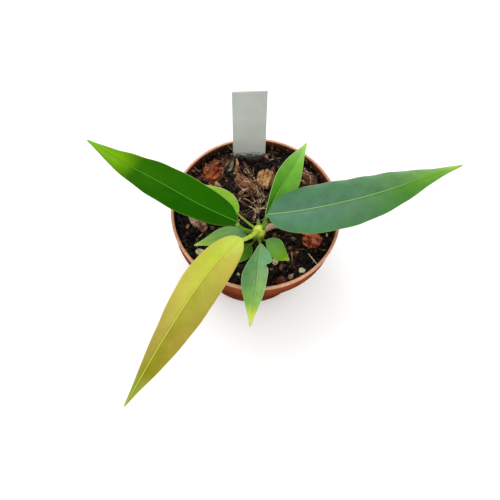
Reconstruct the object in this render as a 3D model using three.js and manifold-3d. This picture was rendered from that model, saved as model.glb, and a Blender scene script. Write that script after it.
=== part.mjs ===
// Potted anthurium: a young plant with strap-shaped leaves in a small plastic nursery pot.
// Millimetres, +Z up. The origin is the centre of the pot's base, on the surface it stands on.
// -Y is the front, where the small notched leaf hangs over the rim. The label stands at the back.
import * as THREE from 'three';
import { ConvexGeometry } from 'three/addons/geometries/ConvexGeometry.js';
import { mergeVertices } from 'three/addons/utils/BufferGeometryUtils.js';
import Module from 'manifold-3d';

const wasm = await Module();
wasm.setup();

// Driving dimensions
const GAP = 0.3;                // clearance between pieces that touch
const POT_HEIGHT = 54;
const RIM_RADIUS = 40;          // outside of the rolled lip
const LIP_HEIGHT = 1.6;
const COLLAR_RADIUS = 39.4;     // outside of the collar, just under the lip
const COLLAR_DEPTH = 12;        // from the top of the lip to the step
const COLLAR_DRAFT = 0.5;
const STEP_IN = 1.6;            // how far the wall steps in under the collar
const BASE_RADIUS = 26.5;
const BASE_ROUND = 2;
const WALL_FLARE = 0.6;         // how much wider the wall starts than the flat of the base
const WALL = 0.8;
const POT_SIDES = 48;
const DRAIN_HOLES = 6;
const DRAIN_RADIUS = 2.5;
const DRAIN_CIRCLE = 16;

const SOIL_LEVEL = 45;
const SOIL_SLOPE = 0.035;       // rise towards the back
const SOIL_LUMP = 0.8;          // height of the lumps in the surface
const SOIL_RINGS = 10;
const SOIL_SIDES = 44;
const SOIL_MOUNDS = [
  { at: [1.5, -10], radius: 12, height: 1 },
  { at: [21, 27], radius: 13, height: 3.2 },
  { at: [-21, 29], radius: 10, height: 2 },
  { at: [-5, 31], radius: 7, height: -3.4 },
];

const STEM_FOOT = new THREE.Vector3(2, -10, 38);
const STEM_TOP = new THREE.Vector3(2.5, -10.7, 57.6);
const STEM_RADIUS = 2.5;
const NODE_SWELL = 0.5;         // how much wider the stem is at a leaf scar

const LABEL_WIDTH = 16;
const LABEL_LENGTH = 66;
const LABEL_THICK = 0.8;
const LABEL_POINT = 14;         // length of the pointed end
const LABEL_TIP = 2.4;          // width of the blunt tip
const LABEL_BURIED = 20;
const LABEL_FOOT = new THREE.Vector3(-6.5, 33.4, 46);
const LABEL_YAW = 8.6;          // degrees
const LABEL_LEAN = 6.8;         // degrees, towards the back
const LABEL_TILT = 1.8;         // degrees, towards the left

const BLADE_THICK = 0.7;
const RIB_HEIGHT = 0.25;        // midrib above the blade
const KEEL_DEPTH = 0.8;         // midrib below the blade

// Leaves. rib: points of the midrib from the blade's base to its tip. outline: rows of place along
// the blade from 0 to 1, half width on the left and half width on the right, seen from above with
// the tip ahead. droop: how far the left and the right half fall away from the level, in degrees,
// at the base and then at the tip; a negative number rises. joins: height of the petiole's foot.
const LEAVES = [
  {
    name: 'leaf_left',
    colour: 0x2f7a16,
    joins: 52.1,
    rib: [[-7.7, -15.4, 70], [-24.5, -11.4, 74.5], [-43.2, -3.2, 75.5], [-63.1, 7.2, 72.5], [-81.8, 20, 66]],
    outline: [
      [0, 0.9, 0.9], [0.02, 3, 3.4], [0.06, 5, 6.2], [0.16, 7.2, 8.4], [0.3, 8.8, 9.2],
      [0.46, 8.7, 8.6], [0.64, 6.5, 6.3], [0.8, 3.6, 3.4], [0.92, 1.5, 1.4], [1, 0.3, 0.3],
    ],
    droop: [-10, -10, -8, -10],
    petiole: 1.1,
    steps: 18,
  },
  {
    name: 'leaf_right',
    colour: 0x3f7350,
    joins: 55.6,
    rib: [
      [5.3, -10.5, 71], [18.1, -9.2, 75], [36.3, -4.2, 77.8], [54.1, 3.7, 77.3], [74.7, 16.2, 73.5],
      [93.6, 28.3, 68],
    ],
    outline: [
      [0, 0.9, 0.9], [0.02, 7.6, 4.4], [0.06, 12.4, 7.5], [0.15, 14.6, 10.5], [0.28, 15.1, 11.6],
      [0.43, 14.2, 10.8], [0.6, 12.3, 7.9], [0.7, 9.8, 5.7], [0.82, 5.1, 2.9], [0.93, 2, 1.2], [1, 0.3, 0.3],
    ],
    droop: [20, 12, 30, 12],
    petiole: 0.8,
    steps: 20,
  },
  {
    name: 'leaf_new',
    colour: 0xb9b045,
    joins: 55.7,
    rib: [
      [-5.1, -24.4, 73], [-12.1, -34.6, 75], [-20.8, -49.5, 73.5], [-31.4, -70.4, 67.5], [-44.6, -97.6, 55],
    ],
    outline: [
      [0, 0.9, 0.9], [0.02, 3, 3], [0.06, 5.4, 5], [0.15, 8, 6.8], [0.28, 9.6, 7.9],
      [0.44, 10, 7], [0.6, 8.6, 5.1], [0.76, 5.8, 3.2], [0.9, 2.4, 1.4], [1, 0.3, 0.3],
    ],
    droop: [-8, -8, -4, -4],
    petiole: 1.1,
    steps: 18,
  },
  {
    name: 'leaf_back',
    colour: 0x5fa03a,
    joins: 52.2,
    rib: [[4.8, -6.6, 61], [8.4, 1.8, 66], [13.5, 13.9, 69], [19.8, 29.6, 69.5]],
    outline: [
      [0, 0.6, 0.6], [0.05, 1.2, 2.2], [0.15, 2.2, 4.8], [0.3, 3.6, 6.8], [0.5, 5, 6.6],
      [0.7, 4.3, 4.2], [0.86, 2.2, 1.9], [1, 0.3, 0.3],
    ],
    droop: [-6, -6, 4, 4],
    petiole: 0.75,
    steps: 12,
  },
  {
    name: 'leaf_front',
    colour: 0x4c8c4a,
    joins: 50.6,
    rib: [[3.9, -18.7, 57], [3.8, -29, 60], [3.9, -39.7, 60.5], [3.6, -48.6, 58], [3.1, -56.9, 53]],
    outline: [
      [0, 0.6, 0.6], [0.06, 2.4, 1.6], [0.14, 4.6, 2.6], [0.22, 5.6, 3.8], [0.25, 5.4, 4.3],
      [0.29, 3.2, 5], [0.34, 4.4, 5.8], [0.45, 4.3, 7], [0.6, 3.7, 6.3], [0.75, 2.5, 4.1],
      [0.9, 1, 1.6], [1, 0.3, 0.3],
    ],
    droop: [-4, -4, 6, 6],
    petiole: 0.7,
    steps: 18,
  },
  {
    name: 'leaf_small_right',
    colour: 0x55984a,
    joins: 48.6,
    rib: [[6.5, -15, 54.6], [11.3, -20.1, 57], [17.3, -24, 54.6]],
    outline: [
      [0, 0.5, 0.5], [0.07, 2.2, 1.4], [0.2, 3.8, 2.6], [0.4, 4.2, 4], [0.62, 3.4, 4.7],
      [0.8, 2.1, 3.3], [0.93, 0.9, 1.2], [1, 0.3, 0.3],
    ],
    droop: [-4, -4, 10, 10],
    petiole: 0.55,
    steps: 9,
  },
  {
    name: 'leaf_small_left',
    colour: 0x4c8c62,
    joins: 49.6,
    rib: [[-3.1, -15.3, 57], [-10.1, -16.8, 59.6], [-18.2, -20.8, 59.8], [-25.9, -23.1, 57]],
    outline: [
      [0, 0.5, 0.5], [0.07, 1.6, 2], [0.2, 3.2, 3.8], [0.4, 4, 4.3], [0.65, 2.9, 3.2],
      [0.85, 1.2, 1.4], [1, 0.3, 0.3],
    ],
    droop: [4, 0, 10, 10],
    petiole: 0.65,
    steps: 10,
  },
  {
    name: 'leaf_under_left',
    colour: 0x7fb32c,
    joins: 54,
    rib: [[-7.9, -6.6, 62.4], [-13.9, -3.5, 64.6], [-22.6, 0.6, 64.8], [-31.7, 6, 62]],
    outline: [
      [0, 0.5, 0.5], [0.06, 1.7, 2.6], [0.18, 3.9, 4.6], [0.36, 4.8, 5.3], [0.58, 3.8, 4],
      [0.8, 2, 2.2], [1, 0.3, 0.3],
    ],
    droop: [0, 0, 8, 8],
    petiole: 0.55,
    steps: 10,
  },
  {
    name: 'leaf_under_new',
    colour: 0x3f7f34,
    joins: 47.6,
    rib: [[-1.1, -17.6, 53.6], [-4, -23.2, 55.2], [-8.6, -28.6, 53.6]],
    outline: [
      [0, 0.5, 0.5], [0.07, 1.6, 1.4], [0.2, 3, 2.6], [0.4, 4, 3.4], [0.65, 3, 2.6],
      [0.85, 1.4, 1.2], [1, 0.3, 0.3],
    ],
    droop: [4, 4, 10, 10],
    petiole: 0.55,
    steps: 9,
  },
];
const ENDS_CLOSER = 0.6;        // how much closer the rows of a blade lie at its base and tip

// Pieces that lie on the soil. at: centre. size: length, width and thickness. turn: degrees.
const CHIP_RISE = 0.12;         // height of a chip's middle over the soil, as a share of its thickness
const CHIP_TOP = 0.62;          // the same for its top
const BARK = 0x8a5a3a;
const CHIPS = [
  { name: 'bark_red', at: [-23.2, 22], size: [12.5, 9.5, 5.6], turn: 70, colour: 0x7d3f2a },
  { name: 'bark_brown', at: [-7, 17.2], size: [15, 7.5, 4.6], turn: -40, colour: 0x7a4c38 },
  { name: 'bark_tan', at: [3, 21.2], size: [12, 9.6, 5.2], turn: 75, colour: 0xb07a52 },
  { name: 'bark_mossy', at: [-15.4, 25.4], size: [7, 4.4, 4.4], turn: 80, colour: 0x6c6a52 },
  { name: 'bark_dark_left', at: [-31, 14.6], size: [9.5, 5.4, 3.4], turn: 65, colour: 0x5a3424 },
  { name: 'bark_small_tan', at: [-21.6, 14.4], size: [7.5, 4.8, 3], turn: -10, colour: 0xb98c68 },
  { name: 'bark_long_pink', at: [-26.6, -6.6], size: [14, 6, 4.4], turn: -42, colour: 0x8c6a60 },
  { name: 'bark_orange', at: [28, -8.8], size: [11.5, 9, 5], turn: -15, colour: 0xa5532c },
  { name: 'bark_front', at: [14.6, -30.6], size: [8, 5.4, 3.6], turn: 20, colour: 0x8a4a30 },
  { name: 'bark_back_right', at: [24.2, 22.4], size: [10.5, 7, 4.4], turn: -46, colour: 0x6e4630 },
  { name: 'bark_right', at: [30.2, 9], size: [9.5, 7, 4.4], turn: 80, colour: BARK },
  { name: 'bark_mid_right', at: [17, 6.5], size: [10.5, 7, 4.4], turn: 30, colour: 0x74462f },
  { name: 'bark_left', at: [-14, -13.5], size: [7.5, 5, 3.4], turn: 15, colour: BARK },
  { name: 'bark_front_left', at: [-18, -26.6], size: [9.5, 6, 3.8], turn: -35, colour: 0x6e4630 },
  { name: 'bark_mid_left', at: [-28.6, 4.2], size: [8.5, 6, 3.8], turn: 100, colour: 0x7d4a30 },
  { name: 'charcoal', at: [-14.4, 15.4], size: [9.5, 5, 4], turn: -28, colour: 0x1c1a19 },
  { name: 'charcoal_back', at: [9.8, 28.6], size: [7, 4, 3.4], turn: 6, colour: 0x1c1a19 },
  { name: 'perlite_left', at: [-24.2, -20.6], size: [4.6, 3.8, 3.2], turn: 0, colour: 0xe9e4cf },
  { name: 'perlite_front', at: [11.4, -21.4], size: [3.4, 3.2, 2.8], turn: 20, colour: 0xe9e4cf },
  { name: 'perlite_right', at: [24.4, -24.2], size: [3.4, 3.2, 2.8], turn: 50, colour: 0xe9e4cf },
  { name: 'perlite_small', at: [-4.9, -29.4], size: [2, 1.8, 1.6], turn: 0, colour: 0xe9e4cf },
  { name: 'perlite_back', at: [16.4, 31.4], size: [2.6, 2.4, 2], turn: 70, colour: 0xe9e4cf },
];

// Dry fibres of the tangle behind the plant. A fibre's points are places on the ground, and it lies
// over whatever is there. Fibres that share a place cross and hold each other there.
const FIBRE_RADIUS = 0.35;
const FIBRE_CLEAR = 1.3;        // how far to its sides a fibre rests on whatever stands highest
const STALK_CLEAR = 0.5;        // the same for a stalk
const KNOT = [0.8, 5];
const UPPER_KNOT = [-2, 18.5];
const MIDDLE_KNOT = [1.5, 11];
const LOWER_KNOT = [1.8, -2];
const FIBRES = [
  [[-11, 27], [-8, 19], [-3, 11.5], KNOT, LOWER_KNOT],
  [[-4, 26.5], UPPER_KNOT, MIDDLE_KNOT, KNOT, [-1.4, -0.5]],
  [[-13, 9.6], [-6, 9.8], KNOT, [6, 3.2]],
  [[6.5, 13.5], [3, 10], KNOT, [-4, 2]],
  [[-9.5, 14], [-4.6, 12.6], MIDDLE_KNOT, [6, 8.2], [8.4, 5]],
  [[1.2, 20.5], UPPER_KNOT, [-7, 17.2], [-12, 19]],
  [[9.6, 2.4], [5, 0.6], LOWER_KNOT, [-2.6, -3.2]],
];
const STALKS = [
  { name: 'dry_stalk_back', from: [3.8, 32], to: [10, 34] },
  { name: 'dry_stalk_right', from: [26.9, -16.2], to: [30.5, -25.5], top: 56.2 },
];

// Fleshy roots under the stem: heading in degrees, reach outwards and depth.
const ROOTS = [
  { heading: 20, reach: 13, depth: 15 },
  { heading: 100, reach: 16, depth: 20 },
  { heading: 175, reach: 12, depth: 24 },
  { heading: 240, reach: 9, depth: 19 },
  { heading: 310, reach: 10, depth: 26 },
];
const ROOT_RADIUS = 1.3;

const UP = new THREE.Vector3(0, 0, 1);

// A repeatable random number source.
function randomSource(seed) {
  let state = seed;
  return () => {
    state = (state + 0x6d2b79f5) | 0;
    let t = Math.imul(state ^ (state >>> 15), 1 | state);
    t = (t + Math.imul(t ^ (t >>> 7), 61 | t)) ^ t;
    return ((t ^ (t >>> 14)) >>> 0) / 4294967296;
  };
}

// Turns a closed three.js geometry into a solid for joins and cuts.
function solid(geometry) {
  const bare = geometry.clone();
  bare.deleteAttribute('normal');
  bare.deleteAttribute('uv');
  const merged = mergeVertices(bare, 1e-4);
  const index = merged.index.array;
  const triangles = [];
  for (let i = 0; i < index.length; i += 3) {
    const [a, b, c] = [index[i], index[i + 1], index[i + 2]];
    if (a !== b && b !== c && c !== a) {
      triangles.push(a, b, c);
    }
  }
  return new wasm.Manifold(new wasm.Mesh({
    numProp: 3,
    vertProperties: new Float32Array(merged.attributes.position.array),
    triVerts: new Uint32Array(triangles),
  }));
}

// Turns a solid back into a geometry.
function geometryOf(shape) {
  const mesh = shape.getMesh();
  const geometry = new THREE.BufferGeometry();
  geometry.setAttribute('position', new THREE.BufferAttribute(mesh.vertProperties, 3));
  geometry.setIndex(new THREE.BufferAttribute(mesh.triVerts, 1));
  return geometry;
}

function joinAll(shapes) {
  return shapes.reduce((whole, shape) => whole.add(shape));
}

// A smooth value at s between the rows of a list. A row's first number is its place.
function between(rows, column, s) {
  let i = 0;
  while (i < rows.length - 2 && s > rows[i + 1][0]) {
    i += 1;
  }
  const [from, to] = [rows[i], rows[i + 1]];
  const before = rows[Math.max(i - 1, 0)];
  const after = rows[Math.min(i + 2, rows.length - 1)];
  const span = to[0] - from[0];
  const t = (s - from[0]) / span;
  const slopeIn = (span * (to[column] - before[column])) / (to[0] - before[0]);
  const slopeOut = (span * (after[column] - from[column])) / (after[0] - from[0]);
  const t2 = t * t;
  const t3 = t2 * t;
  return (2 * t3 - 3 * t2 + 1) * from[column] + (t3 - 2 * t2 + t) * slopeIn
    + (3 * t2 - 2 * t3) * to[column] + (t3 - t2) * slopeOut;
}

// A closed tube along a curve, with a radius that may change from its start to its end.
function tube(curve, radiusAt, steps, sides) {
  const points = [];
  const triangles = [];
  let across = new THREE.Vector3();
  for (let i = 0; i <= steps; i += 1) {
    const centre = curve.getPointAt(i / steps);
    const ahead = curve.getTangentAt(i / steps);
    if (i === 0) {
      const helper = Math.abs(ahead.z) > 0.9 ? new THREE.Vector3(1, 0, 0) : UP;
      across.crossVectors(ahead, helper).normalize();
    } else {
      across.addScaledVector(ahead, -across.dot(ahead)).normalize();
    }
    const beside = new THREE.Vector3().crossVectors(ahead, across);
    for (let j = 0; j < sides; j += 1) {
      const angle = (2 * Math.PI * j) / sides;
      const point = centre.clone()
        .addScaledVector(across, radiusAt(i / steps) * Math.cos(angle))
        .addScaledVector(beside, radiusAt(i / steps) * Math.sin(angle));
      points.push(point);
    }
  }
  for (let i = 0; i < steps; i += 1) {
    for (let j = 0; j < sides; j += 1) {
      const a = i * sides + j;
      const b = i * sides + ((j + 1) % sides);
      triangles.push(a, b, b + sides, a, b + sides, a + sides);
    }
  }
  const last = steps * sides;
  for (let j = 1; j < sides - 1; j += 1) {
    triangles.push(0, j + 1, j);
    triangles.push(last, last + j, last + j + 1);
  }
  const geometry = new THREE.BufferGeometry().setFromPoints(points);
  geometry.setIndex(triangles);
  return geometry;
}

// A solid of revolution about the Z axis from a profile of [radius, height] points.
function turned(profile, sides) {
  const points = profile.map(([r, z]) => new THREE.Vector2(r, z));
  const geometry = new THREE.LatheGeometry(points, sides);
  geometry.rotateX(Math.PI / 2);
  return geometry;
}

// Pot
const STEP_HEIGHT = POT_HEIGHT - COLLAR_DEPTH;
const collarFoot = COLLAR_RADIUS - COLLAR_DRAFT;
const wallTop = collarFoot - STEP_IN;

function wallRadius(z) {
  return THREE.MathUtils.mapLinear(z, BASE_ROUND, STEP_HEIGHT, BASE_RADIUS + WALL_FLARE, wallTop);
}

function potSolid() {
  const lipFoot = POT_HEIGHT - LIP_HEIGHT;
  const profile = [
    [0, 0],
    [BASE_RADIUS - BASE_ROUND, 0],
    [BASE_RADIUS - 0.5, 0.5],
    [wallRadius(BASE_ROUND), BASE_ROUND],
    [wallTop, STEP_HEIGHT - 1],
    [collarFoot, STEP_HEIGHT],
    [COLLAR_RADIUS, lipFoot],
    [RIM_RADIUS - 0.2, lipFoot],
    [RIM_RADIUS, lipFoot + 0.4],
    [RIM_RADIUS, POT_HEIGHT - 0.5],
    [RIM_RADIUS - 0.5, POT_HEIGHT],
    [COLLAR_RADIUS - WALL + 0.3, POT_HEIGHT],
    [COLLAR_RADIUS - WALL, POT_HEIGHT - 0.4],
    [collarFoot - WALL, STEP_HEIGHT + 0.5],
    [wallTop - WALL, STEP_HEIGHT - 0.5],
    [wallRadius(BASE_ROUND) - WALL, BASE_ROUND],
    [BASE_RADIUS - BASE_ROUND, WALL],
    [0, WALL],
  ];
  let pot = solid(turned(profile, POT_SIDES));
  for (let i = 0; i < DRAIN_HOLES; i += 1) {
    const angle = (2 * Math.PI * i) / DRAIN_HOLES;
    const hole = new THREE.CylinderGeometry(DRAIN_RADIUS, DRAIN_RADIUS, 3 * WALL, 12);
    hole.rotateX(Math.PI / 2);
    hole.translate(DRAIN_CIRCLE * Math.cos(angle), DRAIN_CIRCLE * Math.sin(angle), WALL / 2);
    pot = pot.subtract(solid(hole));
  }
  return pot;
}

// Soil
function soilHeight(x, y) {
  let mounds = 0;
  for (const { at, radius, height } of SOIL_MOUNDS) {
    const away = Math.hypot(x - at[0], y - at[1]) / radius;
    mounds += height * Math.exp(-away * away);
  }
  const lumps = Math.sin(0.71 * x + 1.3) * Math.cos(0.83 * y - 0.4)
    + 0.6 * Math.sin(1.37 * x - 0.9 * y) + 0.4 * Math.cos(0.4 * x + 1.6 * y + 2);
  const edge = THREE.MathUtils.smoothstep(Math.hypot(x, y), 30, 37);
  return SOIL_LEVEL + SOIL_SLOPE * y + mounds + SOIL_LUMP * lumps * (1 - 0.6 * edge);
}

function soilSolid() {
  const inner = WALL + GAP;
  const rimOfSoil = collarFoot - inner;
  const profile = [
    [0, inner],
    [BASE_RADIUS - BASE_ROUND - GAP, inner],
    [wallRadius(BASE_ROUND) - inner, BASE_ROUND + GAP],
    [wallTop - inner, STEP_HEIGHT - 0.5],
    [rimOfSoil, STEP_HEIGHT + 0.5 + GAP],
  ];
  for (let i = SOIL_RINGS; i >= 0; i -= 1) {
    profile.push([(rimOfSoil * i) / SOIL_RINGS, SOIL_LEVEL]);
  }
  const geometry = turned(profile, SOIL_SIDES);
  const place = geometry.attributes.position;
  for (let i = 0; i < place.count; i += 1) {
    if (place.getZ(i) > SOIL_LEVEL - 0.01) {
      place.setZ(i, soilHeight(place.getX(i), place.getY(i)));
    }
  }
  return solid(geometry);
}

// Stem with its fleshy roots. grow widens it all round, to cut its hole or to trim what joins it.
function stemSolid(grow) {
  const axis = new THREE.LineCurve3(STEM_FOOT, STEM_TOP);
  const swell = (s) => NODE_SWELL * Math.exp(-((s - 0.82) ** 2) / 0.006)
    + 0.3 * Math.exp(-((s - 0.62) ** 2) / 0.004);
  const shoulder = (s) => Math.sqrt(1 - THREE.MathUtils.smoothstep(s, 0.86, 1) * 0.75);
  const stem = tube(axis, (s) => STEM_RADIUS * shoulder(s) + swell(s) + grow, 12, 10);
  const parts = [solid(stem)];
  for (const { heading, reach, depth } of ROOTS) {
    const angle = THREE.MathUtils.degToRad(heading);
    const out = new THREE.Vector3(Math.cos(angle), Math.sin(angle), 0);
    const start = STEM_FOOT.clone().add(new THREE.Vector3(0, 0, 1.4));
    const curve = new THREE.CatmullRomCurve3([
      start,
      start.clone().addScaledVector(out, reach * 0.55).add(new THREE.Vector3(0, 0, -depth * 0.22)),
      start.clone().addScaledVector(out, reach * 0.9).add(new THREE.Vector3(0, 0, -depth * 0.6)),
      start.clone().addScaledVector(out, reach).add(new THREE.Vector3(0, 0, -depth)),
    ]);
    parts.push(solid(tube(curve, (s) => ROOT_RADIUS * (1 - 0.5 * s) + grow, 5, 5)));
  }
  return joinAll(parts);
}

// Blade and petiole of one leaf
function bladeGeometry(leaf) {
  const curve = new THREE.CatmullRomCurve3(leaf.rib.map((p) => new THREE.Vector3(...p)));
  const across = [-1, -0.55, -0.12, 0, 0.12, 0.55, 1];
  const columns = across.length;
  const upper = [];
  const lower = [];
  for (let i = 0; i <= leaf.steps; i += 1) {
    const even = i / leaf.steps;
    const s = even - (ENDS_CLOSER * Math.sin(2 * Math.PI * even)) / (2 * Math.PI);
    const centre = curve.getPointAt(s);
    const ahead = curve.getTangentAt(s);
    const right = new THREE.Vector3().crossVectors(ahead, UP).normalize();
    const normal = new THREE.Vector3().crossVectors(right, ahead);
    const fade = 1 - s ** 3;
    for (const v of across) {
      const side = v < 0 ? 1 : 2;
      const [fromBase, toTip] = v < 0 ? [leaf.droop[0], leaf.droop[2]] : [leaf.droop[1], leaf.droop[3]];
      const angle = THREE.MathUtils.degToRad(THREE.MathUtils.lerp(fromBase, toTip, s));
      const reach = v * between(leaf.outline, side, s);
      const fall = Math.abs(reach) * Math.abs(v) ** 0.4;
      const middle = centre.clone()
        .addScaledVector(right, reach * Math.cos(angle))
        .addScaledVector(normal, -fall * Math.sin(angle));
      const rib = v === 0 ? fade : 0;
      upper.push(middle.clone().addScaledVector(normal, BLADE_THICK / 2 + RIB_HEIGHT * rib));
      lower.push(middle.clone().addScaledVector(normal, -BLADE_THICK / 2 - KEEL_DEPTH * rib));
    }
  }
  const below = upper.length;
  const triangles = [];
  for (let i = 0; i < leaf.steps; i += 1) {
    for (let j = 0; j < columns - 1; j += 1) {
      const a = i * columns + j;
      const b = a + 1;
      const c = a + columns;
      const d = c + 1;
      triangles.push(a, b, d, a, d, c);
      triangles.push(below + a, below + d, below + b, below + a, below + c, below + d);
    }
    const left = i * columns;
    const leftNext = left + columns;
    const right = leftNext - 1;
    const rightNext = right + columns;
    triangles.push(left, leftNext, below + leftNext, left, below + leftNext, below + left);
    triangles.push(right, below + right, below + rightNext, right, below + rightNext, rightNext);
  }
  const end = leaf.steps * columns;
  for (let j = 0; j < columns - 1; j += 1) {
    triangles.push(j, below + j, below + j + 1, j, below + j + 1, j + 1);
    triangles.push(end + j, end + j + 1, below + end + j + 1, end + j, below + end + j + 1, below + end + j);
  }
  const geometry = new THREE.BufferGeometry().setFromPoints([...upper, ...lower]);
  geometry.setIndex(triangles);
  return geometry;
}

function stemPoint(z) {
  const t = (z - STEM_FOOT.z) / (STEM_TOP.z - STEM_FOOT.z);
  return STEM_FOOT.clone().lerp(STEM_TOP, t);
}

// The petiole rises from the stem and bends at the knee, just under the blade's base.
function petioleGeometry(leaf) {
  const base = new THREE.Vector3(...leaf.rib[0]);
  const ahead = new THREE.Vector3(...leaf.rib[1]).sub(base).normalize();
  const start = stemPoint(leaf.joins);
  const outwards = new THREE.Vector3(base.x - start.x, base.y - start.y, 0).normalize();
  start.addScaledVector(outwards, STEM_RADIUS / 2);
  const under = base.clone().addScaledVector(ahead, -0.4);
  under.z -= 1.6 + leaf.petiole;
  const middle = start.clone().lerp(under, 0.45);
  middle.addScaledVector(outwards, 0.06 * start.distanceTo(base));
  const curve = new THREE.CatmullRomCurve3([
    start, middle, under, base.clone().addScaledVector(ahead, 1.4),
  ]);
  const foot = (s) => 0.25 * (1 - THREE.MathUtils.smoothstep(s, 0, 0.35));
  const knee = (s) => 0.2 * Math.exp(-((s - 0.84) ** 2) / 0.006);
  const steps = leaf.petiole > 1 ? 12 : 9;
  const sides = leaf.petiole > 1 ? 8 : 6;
  return tube(curve, (s) => leaf.petiole * (1 + foot(s) + knee(s) - 0.25 * s), steps, sides);
}

function leafSolid(leaf, trimmer) {
  const whole = solid(bladeGeometry(leaf)).add(solid(petioleGeometry(leaf)));
  return whole.subtract(trimmer);
}

// Label
function labelSolid(grow) {
  const half = LABEL_WIDTH / 2 + grow;
  const top = LABEL_LENGTH - LABEL_BURIED;
  const foot = -LABEL_BURIED - grow;
  const outline = new THREE.Shape();
  outline.moveTo(-half, top);
  outline.lineTo(-half, foot + LABEL_POINT);
  outline.lineTo(-LABEL_TIP / 2 - grow, foot);
  outline.lineTo(LABEL_TIP / 2 + grow, foot);
  outline.lineTo(half, foot + LABEL_POINT);
  outline.lineTo(half, top);
  outline.closePath();
  const thick = LABEL_THICK + 2 * grow;
  const geometry = new THREE.ExtrudeGeometry(outline, { depth: thick, bevelEnabled: false });
  geometry.translate(0, 0, -thick / 2);
  geometry.rotateX(Math.PI / 2);
  geometry.rotateY(THREE.MathUtils.degToRad(-LABEL_TILT));
  geometry.rotateX(THREE.MathUtils.degToRad(-LABEL_LEAN));
  geometry.rotateZ(THREE.MathUtils.degToRad(LABEL_YAW));
  geometry.translate(...LABEL_FOOT.toArray());
  return solid(geometry);
}

// A broken chip: the hull of seeded points near the faces of a slab. grow widens it all round.
function chipSolid(chip, seed, grow) {
  const random = randomSource(seed);
  const [length, width, thick] = chip.size;
  const points = [];
  for (let i = 0; i < 14; i += 1) {
    const angle = (2 * Math.PI * (i % 7 + 0.5 * random())) / 7;
    const reach = 0.8 + 0.2 * random();
    const level = (i < 7 ? -1 : 1) * (0.65 + 0.35 * random());
    const taper = i < 7 ? 0.85 : 1;
    points.push(new THREE.Vector3(
      (length / 2 + grow) * reach * taper * Math.cos(angle),
      (width / 2 + grow) * reach * taper * Math.sin(angle),
      (thick / 2 + grow) * level,
    ));
  }
  const geometry = new ConvexGeometry(points);
  geometry.rotateX(THREE.MathUtils.degToRad(10 * (random() - 0.5)));
  geometry.rotateY(THREE.MathUtils.degToRad(10 * (random() - 0.5)));
  geometry.rotateZ(THREE.MathUtils.degToRad(chip.turn));
  const [x, y] = chip.at;
  geometry.translate(x, y, soilHeight(x, y) + thick * CHIP_RISE);
  return solid(geometry);
}

// The height of whatever lies at a place: the soil, or a chip on it.
function groundTop(x, y) {
  let top = soilHeight(x, y);
  for (const { at, size } of CHIPS) {
    const reach = size[0] / 2 + 0.5;
    if (Math.hypot(x - at[0], y - at[1]) < reach) {
      top = Math.max(top, soilHeight(...at) + size[2] * CHIP_TOP);
    }
  }
  return top;
}

// The height of the middle of a fibre that lies at a place, clear of what is round it up to reach.
function layHeight(x, y, reach) {
  const around = 8;
  let top = groundTop(x, y);
  for (let i = 0; i < around; i += 1) {
    const angle = (2 * Math.PI * i) / around;
    top = Math.max(top, groundTop(x + reach * Math.cos(angle), y + reach * Math.sin(angle)));
  }
  return top + GAP + FIBRE_RADIUS;
}

function fibreSolid(route) {
  const flat = new THREE.CatmullRomCurve3(route.map(([x, y]) => new THREE.Vector3(x, y, 0)));
  const points = flat.getPoints(3 * (route.length - 1));
  for (const point of points) {
    point.z = layHeight(point.x, point.y, FIBRE_CLEAR);
  }
  return solid(tube(new THREE.CatmullRomCurve3(points), () => FIBRE_RADIUS, 13, 4));
}

// A straight dry stalk, lifted until it clears the ground under it. One with a top leans on the lip.
function stalkSolid({ from, to, top }) {
  const start = new THREE.Vector3(...from, layHeight(...from, STALK_CLEAR));
  const end = new THREE.Vector3(...to, top ?? layHeight(...to, STALK_CLEAR));
  let lift = 0;
  for (let t = 0; t <= 1; t += 0.1) {
    const place = start.clone().lerp(end, t);
    lift = Math.max(lift, layHeight(place.x, place.y, STALK_CLEAR) - place.z);
  }
  start.z += lift;
  end.z += lift;
  return solid(tube(new THREE.LineCurve3(start, end), (s) => FIBRE_RADIUS * (1.3 - 0.4 * s), 2, 6));
}

// Assembly
const plant = new THREE.Group();

function add(name, shape, colour, roughness) {
  const material = new THREE.MeshStandardMaterial({ color: colour, roughness, metalness: 0 });
  const mesh = new THREE.Mesh(geometryOf(shape), material);
  mesh.name = name;
  plant.add(mesh);
}

add('pot', potSolid(), 0xb5623f, 0.45);

const trimmer = stemSolid(GAP);
let soil = soilSolid().subtract(trimmer).subtract(labelSolid(GAP));

add('stem', stemSolid(0), 0x9dbb52, 0.5);

const sheathCurve = new THREE.CatmullRomCurve3([
  stemPoint(55.4),
  new THREE.Vector3(1.7, -8.3, 57.2),
  new THREE.Vector3(1.3, -7.6, 59.4),
]);
add('stem_sheath', solid(tube(sheathCurve, (s) => 0.95 - 0.6 * s, 7, 8)).subtract(trimmer), 0xb4cf86, 0.55);

const aerialCurve = new THREE.CatmullRomCurve3([
  stemPoint(49.6),
  new THREE.Vector3(5.6, -7.6, 51),
  new THREE.Vector3(9.8, -4.6, 49.4),
  new THREE.Vector3(12.4, -1.8, 42.5),
]);
const aerialRoot = (grow) => solid(tube(aerialCurve, (s) => 1.55 - 0.4 * s + grow, 10, 8));
soil = soil.subtract(aerialRoot(GAP));
add('aerial_root', aerialRoot(0).subtract(trimmer), 0xc9a189, 0.7);

for (const leaf of LEAVES) {
  add(leaf.name, leafSolid(leaf, trimmer), leaf.colour, 0.4);
}

add('label', labelSolid(0), 0xc9cdcf, 0.4);

CHIPS.forEach((chip, i) => {
  soil = soil.subtract(chipSolid(chip, 100 + i, GAP));
  add(chip.name, chipSolid(chip, 100 + i, 0), chip.colour, 0.85);
});

add('dry_roots', joinAll(FIBRES.map(fibreSolid)), 0xb08a5a, 0.8);
for (const stalk of STALKS) {
  add(stalk.name, stalkSolid(stalk), 0xc9ae84, 0.8);
}

add('soil', soil, 0x2a211c, 0.95);

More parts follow.
